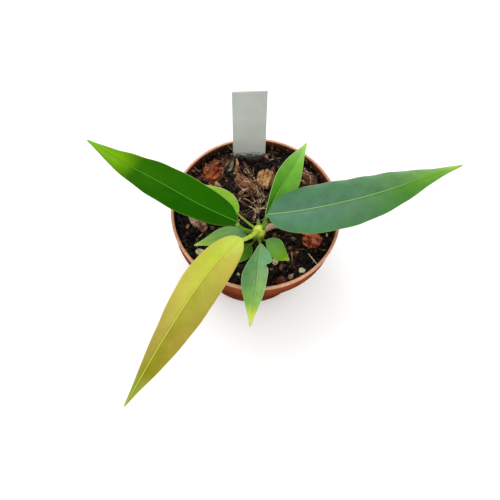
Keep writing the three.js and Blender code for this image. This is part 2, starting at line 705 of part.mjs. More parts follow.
export default plant;
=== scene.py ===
import random
from functools import partial
from math import atan2, cos, exp, hypot, pi, radians, sin

import bpy
from mathutils import Matrix, Quaternion, Vector, noise


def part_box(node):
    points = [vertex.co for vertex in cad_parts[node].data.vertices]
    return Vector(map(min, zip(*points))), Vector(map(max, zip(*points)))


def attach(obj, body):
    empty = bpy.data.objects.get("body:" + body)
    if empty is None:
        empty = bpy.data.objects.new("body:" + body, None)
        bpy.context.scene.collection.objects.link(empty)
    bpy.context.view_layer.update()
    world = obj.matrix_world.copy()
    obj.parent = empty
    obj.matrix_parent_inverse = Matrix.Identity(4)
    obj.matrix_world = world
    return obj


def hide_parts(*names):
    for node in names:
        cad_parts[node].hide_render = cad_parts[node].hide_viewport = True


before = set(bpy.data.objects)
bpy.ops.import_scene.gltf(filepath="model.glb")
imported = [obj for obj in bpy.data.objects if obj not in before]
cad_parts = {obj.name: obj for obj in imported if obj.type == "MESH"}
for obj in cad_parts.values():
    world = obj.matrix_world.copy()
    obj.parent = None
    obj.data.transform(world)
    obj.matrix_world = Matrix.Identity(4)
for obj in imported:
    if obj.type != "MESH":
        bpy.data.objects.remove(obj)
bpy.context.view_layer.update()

# Camera
# The plant is looked down on from the front at arm's length, with the picture turned by a few
# degrees. The lens is a normal one on a 36 mm sensor, nothing is shifted and all of it is sharp.
CAMERA_PLACE = (0, -0.1488, 0.3373)
CAMERA_AIM = (-0.0024, 0.4114, -0.9114)
CAMERA_ROLL = 6.19              # degrees
CAMERA_LENS = 48.97
bpy.ops.object.camera_add(location=CAMERA_PLACE)
camera = bpy.context.object
camera.name = "camera"
looking = Vector(CAMERA_AIM).to_track_quat("-Z", "Y")
camera.rotation_mode = "QUATERNION"
camera.rotation_quaternion = looking @ Quaternion((0, 0, 1), radians(CAMERA_ROLL))
camera.data.lens = CAMERA_LENS
camera.data.sensor_width = 36
camera.data.clip_start = 0.01
scene = bpy.context.scene
scene.camera = camera

# Floor and light
# A matt white sweep of photographer's paper, lit by a pale room all round and by one large soft
# lamp from the left and the back, so that shadows fall faint and blurred to the lower right.
ROOM_LIGHT = 1.0
LAMP_PLACE = Vector((-0.45, 0.45, 1.0))
LAMP_AIM = Vector((0, 0, 0.05))
LAMP_SIZE = 0.9
LAMP_WATTS = 3.4
PAPER_GLOW = 0.2                # the paper is thin and a little light comes through it


def linear_colour(code):
    """A colour written as six sRGB hex digits, in the linear values that Blender works with."""
    parts = [int(code[i:i + 2], 16) / 255 for i in (0, 2, 4)]
    return [p / 12.92 if p <= 0.04045 else ((p + 0.055) / 1.055) ** 2.4 for p in parts] + [1]


def set_inputs(node, inputs):
    """Sets or links a node's inputs, given as a list in their order or as a dict by name or number.
    An input is a value, a hex colour, a socket, or a node whose first output is meant."""
    for place, value in inputs.items() if isinstance(inputs, dict) else enumerate(inputs):
        if isinstance(value, bpy.types.Node):
            value = value.outputs[0]
        if isinstance(value, bpy.types.NodeSocket):
            node.id_data.links.new(value, node.inputs[place])
        else:
            node.inputs[place].default_value = linear_colour(value) if isinstance(value, str) else value


def new_material(name, roughness, ior=1.45, specular=0.5):
    """A material with its shader's own even values. Colour and relief are linked to it later."""
    made = bpy.data.materials.new(name)
    made.use_nodes = True
    shader = made.node_tree.nodes["Principled BSDF"]
    set_inputs(shader, {"Roughness": roughness, "IOR": ior, "Specular IOR Level": specular})
    return made


def add_node(material, kind, inputs=(), stops=(), **settings):
    """Adds a node with its settings and inputs. stops: places and hex colours of a ramp. Where a
    material takes many nodes, add stands for this function with that material filled in."""
    made = material.node_tree.nodes.new("ShaderNode" + kind)
    for setting, value in settings.items():
        setattr(made, setting, value)
    set_inputs(made, inputs)
    for i, (place, code) in enumerate(stops):
        stop = made.color_ramp.elements[i] if i < 2 else made.color_ramp.elements.new(place)
        stop.position = place
        stop.color = linear_colour(code)
    return made


def finish_shader(material, colour, relief=None, depth=0.0, others=()):
    """Links a colour, a relief of so many metres and other inputs by name to a material's shader."""
    inputs = {"Base Color": colour, **dict(others)}
    if relief is not None:
        inputs["Normal"] = add_node(material, "Bump", {"Height": relief, "Distance": depth})
    set_inputs(material.node_tree.nodes["Principled BSDF"], inputs)


bpy.ops.mesh.primitive_grid_add(x_subdivisions=4, y_subdivisions=4, size=5, location=(0, 0, -0.0002))
floor = bpy.context.object
floor.name = "paper_floor"
paper = new_material("matt white paper", 0.9, specular=0.1)
grain = add_node(paper, "TexNoise", {"Scale": 3.0, "Detail": 2.0})
tint = add_node(paper, "ValToRGB", [grain], stops=[(0.3, "fcfcfc"), (0.7, "fefefe")])
finish_shader(paper, tint, others={"Emission Color": "ffffff", "Emission Strength": PAPER_GLOW})
floor.data.materials.append(paper)

sky = bpy.data.worlds.new("pale room")
sky.use_nodes = True
set_inputs(sky.node_tree.nodes["Background"], {"Color": "ffffff", "Strength": ROOM_LIGHT})
scene.world = sky
scene.view_settings.view_transform = "Standard"

bpy.ops.object.light_add(type="AREA", location=LAMP_PLACE)
lamp = bpy.context.object
lamp.data.shape = "DISK"
lamp.data.size = LAMP_SIZE
lamp.data.energy = LAMP_WATTS
lamp.rotation_mode = "QUATERNION"
lamp.rotation_quaternion = (LAMP_AIM - LAMP_PLACE).to_track_quat("-Z", "Y")

# Pot
# A small nursery pot, injection moulded in one piece from terracotta-coloured polypropylene. A wall
# under 1 mm thick runs up to a stepped collar with a rolled lip. Six holes drain its base.
MM = 0.001
POT_OUTLINE = [
    (0, 0), (24.4, 0), (25.8, 0.3), (26.7, 1), (27.1, 2), (36.9, 39.6), (37.3, 41), (37.9, 41.6),
    (38.6, 41.8), (38.9, 42.2), (39.38, 52), (39.45, 52.35), (39.7, 52.4), (39.92, 52.6), (40, 53),
    (39.96, 53.5), (39.8, 53.85), (39.45, 54), (39, 54), (38.7, 53.85), (38.6, 53.5), (38.12, 42.7),
    (37.7, 42.1), (36.9, 41.6), (36.3, 40), (26.3, 2.6), (25.7, 1.3), (24.6, 0.8), (0, 0.8),
]
POT_STEPS = 128
HOLE_RADIUS = 2.5
HOLE_CIRCLE = 16
INNER_RADIUS = 38.75            # what lies nearer to the axis is the inside of the pot
MARK_AND_SHADE_FOOT = 42.4                # stains and painted shade reach the wall only above this height
# Ranges of height or of x over which a change in the look of the plastic comes in, in mm.
MARK_AND_SHADE_BAND = (44.5, 52.5)
LIP_HIGHLIGHT = (52.8, 53.6)
SHADED_WALL = (38, 53.2)
LIP_SHINE = (50, 53.5)
LIT_SIDE = (12, 34)


def only(piece):
    """Makes a piece the one selected and active object."""
    bpy.ops.object.select_all(action="DESELECT")
    piece.select_set(True)
    bpy.context.view_layer.objects.active = piece


def apply_modifier(piece, kind, **settings):
    """Adds a modifier with its settings and applies it."""
    only(piece)
    made = piece.modifiers.new(kind.lower(), kind)
    for setting, value in settings.items():
        setattr(made, setting, value)
    bpy.ops.object.modifier_apply(modifier=made.name)


def dress(piece, name, materials, nodes, smooth=True):
    """Names a finished piece, gives it its materials and ties it to the frame."""
    only(piece)
    piece.name = name
    piece.data.name = name
    if smooth:
        bpy.ops.object.shade_smooth()
    for material in materials:
        piece.data.materials.append(material)
    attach(piece, "root")
    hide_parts(*nodes)


def turned(outline, steps):
    """Draws an outline of (radius, height) points in mm from one corner and spins it once round."""
    bpy.ops.object.select_all(action="DESELECT")
    bpy.ops.mesh.primitive_plane_add(size=MM)
    piece = bpy.context.object
    bpy.ops.object.mode_set(mode="EDIT")
    bpy.ops.mesh.merge(type="CENTER")
    bpy.ops.transform.translate(value=(outline[0][0] * MM, 0, outline[0][1] * MM))
    for (r0, z0), (r1, z1) in zip(outline, outline[1:]):
        step = ((r1 - r0) * MM, 0, (z1 - z0) * MM)
        bpy.ops.mesh.extrude_vertices_move(TRANSFORM_OT_translate={"value": step})
    bpy.ops.mesh.select_all(action="SELECT")
    bpy.ops.mesh.spin(steps=steps, angle=2 * pi, center=(0, 0, 0), axis=(0, 0, 1))
    bpy.ops.mesh.select_all(action="SELECT")
    bpy.ops.mesh.remove_doubles(threshold=1e-6)
    bpy.ops.mesh.normals_make_consistent(inside=False)
    bpy.ops.object.mode_set(mode="OBJECT")
    return piece


pot = turned(POT_OUTLINE, POT_STEPS)
bpy.ops.object.select_all(action="DESELECT")
drills = []
for i in range(6):
    place = (HOLE_CIRCLE * MM * cos(pi * i / 3), HOLE_CIRCLE * MM * sin(pi * i / 3), 0.5 * MM)
    bpy.ops.mesh.primitive_cylinder_add(vertices=32, radius=HOLE_RADIUS * MM, depth=6 * MM, location=place)
    drills.append(bpy.context.object)
for drill in drills:
    drill.select_set(True)
bpy.ops.object.join()
drill = bpy.context.object
apply_modifier(pot, "BOOLEAN", object=drill, operation="DIFFERENCE", solver="EXACT")
bpy.data.objects.remove(drill)
only(pot)
bpy.ops.object.shade_smooth_by_angle(angle=radians(32))

# Polypropylene has a dull satin skin. The colour is a little streaky from the melt. The lip's top is
# painted pale in specks, as a painted highlight, and the wall below the collar is painted darker, as
# painted shade. Dark specks inside above the mix are partly stains of wet mix and partly painted
# shade, and painted light keeps them fewest on the right, where the wall is lit.
plastic = new_material("moulded terracotta polypropylene", 0.5)
add = partial(add_node, plastic)
place = add("TexCoord").outputs["Object"]
upright = add("Mapping", {0: place, "Scale": (1, 1, 0.15)})
streaks = add("TexNoise", {"Vector": upright, "Scale": 1 / (4 * MM), "Detail": 4.0})
clay = add("ValToRGB", [streaks], stops=[(0.3, "8d4628"), (0.7, "a15532")])
part = add("SeparateXYZ", [place])
flat = add("CombineXYZ", [part.outputs[0], part.outputs[1]])
out = add("VectorMath", [flat], operation="LENGTH").outputs["Value"]
specks = add("TexNoise", {"Vector": place, "Scale": 1 / (1.6 * MM), "Detail": 6.0, "Roughness": 0.7})
# Painted highlight: the lip's top is painted pale in specks.
on_lip = add("MapRange", [part.outputs[2], LIP_HIGHLIGHT[0] * MM, LIP_HIGHLIGHT[1] * MM, 0.0, 1.0])
lip_highlight = add("MapRange", [specks, 0.3, 0.6, 0.45, 1.0])
lip_highlight = add("Math", [lip_highlight, on_lip], operation="MULTIPLY")
# Painted shade: the wall is painted darker below the collar.
shade_below_collar = add("MapRange", [part.outputs[2], SHADED_WALL[0] * MM, SHADED_WALL[1] * MM, 0.85, 0.2])
shaded = add("Mix", {0: shade_below_collar, 6: clay, 7: "4a2011"}, data_type="RGBA").outputs[2]
highlit_and_shaded = add("Mix", {0: lip_highlight, 6: shaded, 7: "e2a785"}, data_type="RGBA").outputs[2]
# Inside, dark specks above the mix are partly stains of wet mix and partly painted shade. Painted light
# keeps them fewest on the right, where the wall is lit.
inside = add("Math", [out, INNER_RADIUS * MM], operation="LESS_THAN")
low = add("MapRange", [part.outputs[2], MARK_AND_SHADE_BAND[0] * MM, MARK_AND_SHADE_BAND[1] * MM, 1.0, 0.6])
stain_and_shade = add("Math", [low, specks], operation="MULTIPLY")
stain_and_shade = add("MapRange", [stain_and_shade, 0.2, 0.34, 0.35, 0.92])
above = add("Math", [part.outputs[2], MARK_AND_SHADE_FOOT * MM], operation="GREATER_THAN")
lit_side = add("MapRange", [part, LIT_SIDE[0] * MM, LIT_SIDE[1] * MM, 1.0, 0.25])
for share in (inside, above, lit_side):
    stain_and_shade = add("Math", [stain_and_shade, share], operation="MULTIPLY")
stained_and_shaded = add("Mix", {0: stain_and_shade, 6: highlit_and_shaded, 7: "2c170d"}, data_type="RGBA")
mould_skin = add("TexNoise", {"Vector": place, "Scale": 1 / (0.5 * MM), "Detail": 3.0})
dull = add("MapRange", [specks, 0.3, 0.7, 0.38, 0.6])
gloss = add("MapRange", [part.outputs[2], LIP_SHINE[0] * MM, LIP_SHINE[1] * MM, 0.0, 0.3])
shine = {"Roughness": dull, "Specular IOR Level": gloss}
finish_shader(plastic, stained_and_shaded.outputs[2], mould_skin, 0.03 * MM, shine)
dress(pot, "nursery_pot", [plastic], ["pot"], smooth=False)

# Potting mix
# A coarse mix of dark peat, bark fines and fibre, wet and nearly black. It fills the pot to about
# 8 mm under the lip, higher round the stem and at the back, with a hollow at the label's foot.
SOIL_LEVEL = 45
SOIL_SLOPE = 0.035              # rise towards the back
SOIL_LUMP = 0.8                 # height of the lumps in the surface
SOIL_EDGE = 37.8                # radius where the surface meets the collar
SOIL_CELLS = 190                # of the grid along each side of its surface
SOIL_MOUNDS = [((1.5, -10), 12, 1), ((21, 27), 13, 3.2), ((-21, 29), 10, 2), ((-5, 31), 7, -3.4)]
SOIL_WALL = [(37.6, 42.8), (35.9, 40), (25.9, 2.4), (24.2, 1.1)]


def soil_height(x, y):
    """The surface of the mix at a place, all in mm. part.mjs has the same mounds and lumps."""
    mounds = sum(h * exp(-(hypot(x - at[0], y - at[1]) / r) ** 2) for at, r, h in SOIL_MOUNDS)
    lumps = (sin(0.71 * x + 1.3) * cos(0.83 * y - 0.4) + 0.6 * sin(1.37 * x - 0.9 * y)
             + 0.4 * cos(0.4 * x + 1.6 * y + 2))
    edge = min(max((hypot(x, y) - 30) / 7, 0), 1)
    edge = edge * edge * (3 - 2 * edge)
    return SOIL_LEVEL + SOIL_SLOPE * y + mounds + SOIL_LUMP * lumps * (1 - 0.6 * edge)


bpy.ops.object.select_all(action="DESELECT")
bpy.ops.mesh.primitive_grid_add(x_subdivisions=SOIL_CELLS, y_subdivisions=SOIL_CELLS, size=2)
mix = bpy.context.object
for vertex in mix.data.vertices:
    a, b, _ = vertex.co
    x = SOIL_EDGE * a * (1 - b * b / 2) ** 0.5
    y = SOIL_EDGE * b * (1 - a * a / 2) ** 0.5
    spot = Vector((x, y, 0))
    clods = 1.5 * (0.5 - noise.voronoi(spot * 0.3)[0][0])
    crumbly = 0.9 * noise.fractal(spot * 0.55, 0.8, 2.2, 4) + 0.45 * noise.noise(spot * 2.1)
    vertex.co = Vector((x, y, soil_height(x, y) + clods + crumbly)) * MM
bpy.ops.object.mode_set(mode="EDIT")
bpy.ops.mesh.select_mode(type="EDGE")
bpy.ops.mesh.select_all(action="DESELECT")
bpy.ops.mesh.select_non_manifold()
before = SOIL_EDGE
for radius, height in SOIL_WALL:
    bpy.ops.mesh.extrude_region_move(TRANSFORM_OT_translate={"value": (0, 0, -MM)})
    shrink = radius / before
    bpy.ops.transform.resize(value=(shrink, shrink, 0), center_override=(0, 0, height * MM))
    before = radius
bpy.ops.mesh.edge_face_add()
bpy.ops.mesh.select_all(action="SELECT")
bpy.ops.mesh.normals_make_consistent(inside=False)
bpy.ops.object.mode_set(mode="OBJECT")

# Peat is matt, but wet crumbs glint. Each crumb has a tone of its own, from black to dark brown.
peat = new_material("wet peat and bark fines", 0.75, ior=1.4)
add = partial(add_node, peat)
place = add("TexCoord").outputs["Object"]
crumb_tone = add("TexVoronoi", {"Vector": place, "Scale": 1 / (1.7 * MM)})
crumb_tone = add("SeparateColor", [crumb_tone.outputs["Color"]])
fines = add("TexNoise", {"Vector": place, "Scale": 1 / (0.8 * MM), "Detail": 5.0})
patches = add("TexNoise", {"Vector": place, "Scale": 1 / (7 * MM), "Detail": 2.0})
patches = add("MapRange", [patches, 0.35, 0.65, 0.45, 1.25])
tone = add("Math", [crumb_tone, fines], operation="MULTIPLY")
tone = add("Math", [tone, patches], operation="MULTIPLY")
peat_colour = add("ValToRGB", [tone], stops=[
    (0.1, "050403"), (0.62, "5a3c2b"), (0.26, "130c09"), (0.45, "2c1b14"),
])
damp = add("MapRange", [fines, 0.4, 0.6, 0.18, 0.9])
finish_shader(peat, peat_colour, fines, 0.5 * MM, {"Roughness": damp})
dress(mix, "potting_mix", [peat], ["soil"])

# Loose crumbs
# Crumbs, flakes and slivers of the mix that lie free on it, from half a millimetre to six across.
# They were broken by hand and strewn, and some cling to the back wall of the pot.
CRUMB_SHAPES = 6
PERLITE = ["left", "front", "right", "small", "back"]
CRUMBS = 1500
CRUMB_LARGEST = 1.7             # its radius
CLINGING_LARGEST = 0.9          # the same for a crumb on the wall
CLINGING_HEIGHT = 5.2           # how far above the mix such a crumb may cling
FLAKES = 400
FLAKE_LARGEST = 2.9
WARM_CORNER = (-24, 25)         # where the flakes are thickest and reddest, at the back on the left


def join_all(pieces):
    """Joins pieces into the first of them, with their places in its mesh."""
    only(pieces[0])
    for piece in pieces:
        piece.select_set(True)
    bpy.ops.object.join()
    bpy.ops.object.transform_apply(location=True, rotation=True, scale=True)
    return pieces[0]


def broken_lumps(count, corners):
    """A few rough lumps of radius 1 to copy. Fewer corners make a more splintery lump."""
    made = []
    for i in range(count):
        bpy.ops.object.select_all(action="DESELECT")
        bpy.ops.mesh.primitive_ico_sphere_add(subdivisions=corners, radius=1)
        lump = bpy.context.object
        for vertex in lump.data.vertices:
            rough = 1 + 0.55 * noise.noise(vertex.co * 1.3 + Vector((7 * i, 0, 0)))
            vertex.co *= rough + 0.25 * noise.noise(vertex.co * 3 + Vector((0, 5 * i, 0)))
        made.append(lump)
    return made


def strewn_copy(shape, place, turn, size, tone):
    """A copy of a lump at a place in mm, with a tone of its own from 0 to 1 for its material."""
    piece = bpy.data.objects.new("crumb", shape.data.copy())
    scene.collection.objects.link(piece)
    piece.location = Vector(place) * MM
    piece.rotation_euler = turn
    piece.scale = Vector(size) * MM
    layer = piece.data.attributes.new("tone", "FLOAT", "POINT")
    layer.data.foreach_set("value", [tone] * len(piece.data.vertices))
    return piece


def mixed_bark(name, stops, roughness):
    """The skin of strewn crumbs: each crumb's own tone picks its colour, with finer specks in it."""
    skin = new_material(name, roughness, ior=1.4, specular=0.4)
    add = partial(add_node, skin)
    place = add("TexCoord").outputs["Object"]
    tone = add("Attribute", {}, attribute_name="tone").outputs["Fac"]
    specks = add("TexNoise", {"Vector": place, "Scale": 1 / (0.7 * MM), "Detail": 5.0})
    speckled = add("MapRange", [specks, 0.3, 0.7, -0.16, 0.16])
    level = add("Math", [tone, speckled], operation="ADD")
    colour = add("ValToRGB", [level], stops=stops)
    damp = add("MapRange", [specks, 0.35, 0.65, roughness - 0.6, roughness])
    finish_shader(skin, colour, specks, 0.35 * MM, {"Roughness": damp})
    return skin


def on_grain(x, y, size):
    """Whether a crumb of a size would hide one of the perlite grains."""
    for low, high in (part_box("perlite_" + where) for where in PERLITE):
        middle = (low + high) / 2 / MM
        if hypot(x - middle.x, y - middle.y) < (high.x - low.x) / 2 / MM + size * 0.6:
            return True
    return False


rng = random.Random(7)
shapes = broken_lumps(CRUMB_SHAPES, 2)
strewn = []
while len(strewn) < CRUMBS:
    angle = rng.uniform(0, 2 * pi)
    away = SOIL_EDGE * rng.random() ** 0.5
    x, y = away * cos(angle), away * sin(angle)
    size = min(rng.uniform(0.3, 0.75) + rng.expovariate(4), CRUMB_LARGEST)
    if hypot(x, y) > SOIL_EDGE - size * 0.7 or on_grain(x, y, size):
        continue
    place = (x, y, soil_height(x, y) + 0.6 + rng.uniform(-0.2, 0.5) * size)
    if len(strewn) % 6 == 1:
        angle, size = rng.gauss(pi / 2, 0.75), min(size, CLINGING_LARGEST)
        away = SOIL_EDGE + 0.5 - size * 0.6
        x, y = away * cos(angle), away * sin(angle)
        place = (x, y, soil_height(x, y) + CLINGING_HEIGHT * rng.random() ** 1.8)
    turn = (rng.uniform(0, 6), rng.uniform(0, 6), rng.uniform(0, 6))
    shape_size = (size, size * rng.uniform(0.6, 1), size * rng.uniform(0.45, 0.9))
    strewn.append(strewn_copy(rng.choice(shapes), place, turn, shape_size, rng.random()))
for shape in shapes:
    bpy.data.objects.remove(shape)
crumbs = join_all(strewn)
crumb_mix = mixed_bark("loose peat crumbs", [
    (0.25, "060504"), (0.98, "86603f"), (0.6, "1a110c"), (0.84, "3f2a1f"),
], 0.85)
dress(crumbs, "loose_crumbs", [crumb_mix], ["soil"], smooth=False)

shapes = broken_lumps(CRUMB_SHAPES, 1)
strewn = []
while len(strewn) < FLAKES:
    angle = rng.uniform(0, 2 * pi)
    away = SOIL_EDGE * rng.random() ** 0.42
    x, y = away * cos(angle), away * sin(angle)
    tone = rng.random()
    if len(strewn) % 3 == 0:
        y = abs(y)
    if len(strewn) % 4 == 1:
        x, y = (rng.gauss(middle, 4.5) for middle in WARM_CORNER)
        tone = 0.55 + 0.25 * tone
    size = min(rng.uniform(0.7, 1.3) + rng.expovariate(1.9), FLAKE_LARGEST)
    if hypot(x, y) > SOIL_EDGE - size * 0.9 or on_grain(x, y, size):
        continue
    place = (x, y, soil_height(x, y) + 0.7 + rng.uniform(0, 0.25) * size)
    turn = (rng.gauss(0, 0.5), rng.gauss(0, 0.5), rng.uniform(0, 6))
    shape_size = (size, size * rng.uniform(0.3, 0.75), size * rng.uniform(0.2, 0.45))
    strewn.append(strewn_copy(rng.choice(shapes), place, turn, shape_size, tone))
for shape in shapes:
    bpy.data.objects.remove(shape)
flakes = join_all(strewn)
flake_bark = mixed_bark("broken bark flakes", [
    (0.2, "0a0605"), (1, "c9a27c"), (0.42, "21130d"), (0.62, "55301f"), (0.82, "8f5536"),
], 0.9)
dress(flakes, "bark_flakes", [flake_bark], ["soil"], smooth=False)

# Bark chips, charcoal and perlite
# Composted pine bark in flat layered chips, broken along its grain, with lumps of charcoal and
# grains of expanded perlite. They lie half sunk in the mix, each where its solid is.
CHIPS = {
    # node: turn of its length in degrees, colours of its hollows, its body and its raised parts
    "bark_red": (70, "2e0f08", "963f22", "c86e3e"),
    "bark_brown": (-40, "20110b", "6c3d26", "9c6e4e"),
    "bark_tan": (75, "4a321e", "b07e4a", "dcb484"),
    "bark_mossy": (80, "201d15", "6a624b", "b0a88c"),
    "bark_dark_left": (65, "2a140c", "5e3826", "7c5138"),
    "bark_small_tan": (-10, "6e4a30", "cc9868", "f0ca9e"),
    "bark_long_pink": (-42, "5e3a30", "c89682", "f4d0c0"),
    "bark_orange": (-15, "5e2214", "c4603e", "ee9068"),
    "bark_front": (20, "3f1d12", "83462e", "9c6444"),
    "bark_back_right": (-46, "2e1a11", "6e4630", "96704e"),
    "bark_right": (80, "3a2116", "8c4e30", "b87850"),
    "bark_mid_right": (30, "301c13", "6a422e", "8c6648"),
    "bark_left": (15, "2e1b12", "6a4630", "8e6a4a"),
    "bark_front_left": (-35, "2c1a12", "63422d", "8a6648"),
    "bark_mid_left": (100, "38190f", "743f2a", "94603f"),
}
CHIP_VOXEL, CHARCOAL_VOXEL, PERLITE_VOXEL = 0.26, 0.3, 0.18     # mesh sizes


def copy_of_node(node, voxel):
    """A copy of a CAD node, merged, and remeshed with even quads of a size in mm."""
    piece = bpy.data.objects.new(node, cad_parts[node].data.copy())
    scene.collection.objects.link(piece)
    piece.data.materials.clear()
    only(piece)
    bpy.ops.object.mode_set(mode="EDIT")
    bpy.ops.mesh.select_all(action="SELECT")
    bpy.ops.mesh.remove_doubles(threshold=1e-5)
    bpy.ops.object.mode_set(mode="OBJECT")
    apply_modifier(piece, "REMESH", mode="VOXEL", voxel_size=voxel * MM)
    apply_modifier(piece, "SMOOTH", factor=0.5, iterations=1)
    return piece


def speckled_skin(name, roughness, speck, depth, stops, detail=4.0, ior=1.4, specular=0.5):
    """A material whose colour and relief follow one noise, with specks and a depth of so many mm."""
    skin = new_material(name, roughness, ior, specular)
    add = partial(add_node, skin)
    place = add("TexCoord").outputs["Object"]
    specks = add("TexNoise", {"Vector": place, "Scale": 1 / (speck * MM), "Detail": detail})
    colour = add("ValToRGB", [specks], stops)
    finish_shader(skin, colour, specks if depth else None, depth * MM)
    return skin


def in_own_axes(piece, turn):
    """Each vertex's place in mm along, across and through a chip, from the chip's middle."""
    spots = [vertex.co / MM for vertex in piece.data.vertices]
    middle = sum(spots, Vector()) / len(spots)
    back = Matrix.Rotation(radians(-turn), 3, "Z")
    return [back @ (spot - middle) for spot in spots]


for i, (node, (turn, hollow, body, edge)) in enumerate(CHIPS.items()):
    chip = copy_of_node(node, CHIP_VOXEL)
    apart = Vector((3 * i, 5 * i, 11 * i))
    own = in_own_axes(chip, turn)
    raised = []
    for vertex, (along, across, through) in zip(chip.data.vertices, own):
        layer = noise.cell(Vector((along * 0.21, across * 0.42, through * 0.9)) + apart)
        splinter = noise.noise(Vector((along * 0.16, across * 1.3, through * 1.1)) + apart)
        bulge = noise.noise(Vector((along, across, through)) * 0.28 + apart)
        pits = noise.turbulence(Vector((along, across, through)) * 0.8 + apart, 3, False)
        lift = 0.5 * (layer - 0.5) + 0.55 * splinter + 0.3 * bulge - 0.25 * pits + 0.15
        raised.append(lift)
        vertex.co += vertex.normal * lift * MM
    layer = chip.data.attributes.new("raised", "FLOAT", "POINT")
    layer.data.foreach_set("value", raised)
    grain_map = chip.data.uv_layers.new(name="grain")
    for loop in chip.data.loops:
        along, across, through = own[loop.vertex_index]
        grain_map.data[loop.index].uv = (along, across + 0.7 * through)

    # Bark is matt and fibrous, its grain along a chip. Colour follows height: darkest in hollows, palest on
    # raised parts.
    bark = new_material("composted pine bark " + node[5:].replace("_", " "), 0.85, ior=1.4, specular=0.25)
    add = partial(add_node, bark)
    mm_along_grain = add("UVMap", {}, uv_map="grain")
    long_grain = add("Mapping", {0: mm_along_grain, "Scale": (0.22, 1.9, 1)})
    fibres = add("TexNoise", {"Vector": long_grain, "Scale": 1.0, "Detail": 6.0})
    place = add("TexCoord").outputs["Object"]
    blotch = add("TexNoise", {"Vector": place, "Scale": 1 / (1.7 * MM), "Detail": 4.0})
    height = add("Attribute", {}, attribute_name="raised").outputs["Fac"]
    height = add("MapRange", [height, -0.7, 0.7, -0.34, 0.34])
    fibres_wide = add("MapRange", [fibres, 0.3, 0.7, 0.2, 0.8])
    level = add("Math", [fibres_wide, height], operation="ADD")
    blotch = add("MapRange", [blotch, 0.3, 0.7, -0.22, 0.22])
    level = add("Math", [level, blotch], operation="ADD")
    bark_colour = add("ValToRGB", [level], stops=[(0.12, hollow), (0.95, edge), (0.5, body)])
    finish_shader(bark, bark_colour, fibres, 0.5 * MM)
    dress(chip, "chip_" + node[5:], [bark], [node])

# Charcoal is brittle and black, with a faint shine on its broken faces.
char_tones = [(0.35, "040404"), (0.75, "1a1715")]
char = speckled_skin("hardwood charcoal", 0.55, 0.7, 0.25, char_tones, detail=5.0, ior=1.45, specular=0.25)
for i, (node, turn) in enumerate({"charcoal": -28, "charcoal_back": 6}.items()):
    lump = copy_of_node(node, CHARCOAL_VOXEL)
    for vertex, spot in zip(lump.data.vertices, in_own_axes(lump, turn)):
        broken = noise.cell(Vector((spot[0] * 0.4, spot[1] * 0.9, spot[2] * 0.9)) + Vector((0, 0, 9 * i)))
        vertex.co += vertex.normal * (0.5 * broken + 0.3 * noise.noise(spot * 1.4) - 0.25) * MM
    dress(lump, "charcoal_lump_" + str(i + 1), [char], [node])

# Perlite is puffed volcanic glass: cream lumps full of small bubbles, with peat caught in them.
puffed = new_material("expanded perlite", 0.8, ior=1.4)
add = partial(add_node, puffed)
place = add("TexCoord").outputs["Object"]
bubbles = add("TexVoronoi", {"Vector": place, "Scale": 1 / (0.6 * MM)})
stain = add("TexNoise", {"Vector": place, "Scale": 1 / (1.1 * MM), "Detail": 4.0})
puffed_colour = add("ValToRGB", [stain], stops=[(0.22, "a89a56"), (0.5, "fff6cc"), (0.34, "f2e6a4")])
finish_shader(puffed, puffed_colour, bubbles, 0.2 * MM)
for where in PERLITE:
    grit = copy_of_node("perlite_" + where, PERLITE_VOXEL)
    for vertex in grit.data.vertices:
        spot = vertex.co / MM
        bubble = noise.noise(spot * 1.3) * 0.35 + noise.noise(spot * 3.1) * 0.15
        vertex.co += vertex.normal * bubble * MM
    dress(grit, "perlite_grain_" + where, [puffed], ["perlite_" + where])

# Dry roots and stalks
# Old thin roots, light brown and wiry, that ran over the mix and dried there. They cross behind the
# stem, where they hold each other. Finer hairs and two straight stalks lie about them.
KNOT, UPPER_KNOT, MIDDLE_KNOT, LOWER_KNOT = (0.8, 5), (-2, 18.5), (1.5, 11), (1.8, -2)
FIBRES = [
    [(-11, 27), (-8, 19), (-3, 11.5), KNOT, LOWER_KNOT],
    [(-4, 26.5), UPPER_KNOT, MIDDLE_KNOT, KNOT, (-1.4, -0.5)],
    [(-13, 9.6), (-6, 9.8), KNOT, (6, 3.2)],
    [(6.5, 13.5), (3, 10), KNOT, (-4, 2)],
    [(-9.5, 14), (-4.6, 12.6), MIDDLE_KNOT, (6, 8.2), (8.4, 5)],
    [(1.2, 20.5), UPPER_KNOT, (-7, 17.2), (-12, 19)],
    [(9.6, 2.4), (5, 0.6), LOWER_KNOT, (-2.6, -3.2)],
]
LONG_HAIRS = [
    # Hairs that lie by themselves, some of them over the chips or up the back wall of the pot.
    [(-9, 30.5), (-7.5, 28.2), (-1.5, 18.2), (4.6, 9.5)],
    [(-13.4, 24.7), (-8.6, 20), (-2.7, 14.6), (1, 11.6)],
    [(-8.3, 24.1), (-4.8, 19.6), (-0.4, 14.1)], [(-8.9, 11.7), (-4.9, 13.9), (0.4, 13.3), (5.2, 10.4)],
    [(-9.5, 10.3), (-6.1, 10.3), (-1, 12.3)], [(-1, 13.1), (1.3, 8.2), (0.6, 3.1), (-0.7, -2.2)],
    [(5.5, 7.9), (2, 4), (0.1, 1.3)], [(-19.3, 19.6), (-17.5, 24.2), (-15.9, 27.1)],
    [(-27, 20), (-20, 26), (-17.5, 31.5)], [(14, 31), (18, 26), (27, 21)],
    [(17.5, 29), (23, 25), (25.5, 18)],
    [(26.5, 16), (31, 12), (31.5, 4)], [(19, -16), (19.6, -21), (17.6, -26)],
    [(-24, -12), (-27, -17), (-23, -22)],
]
ROOT_ENDS = [
    [(-8.9, 8.2), (-5.6, 5.7), (-1, 4.9), (0.3, 3), (-0.7, -2.2)], [(6.2, 4.6), (1.8, 5.4), (-1, 4.9)],
]
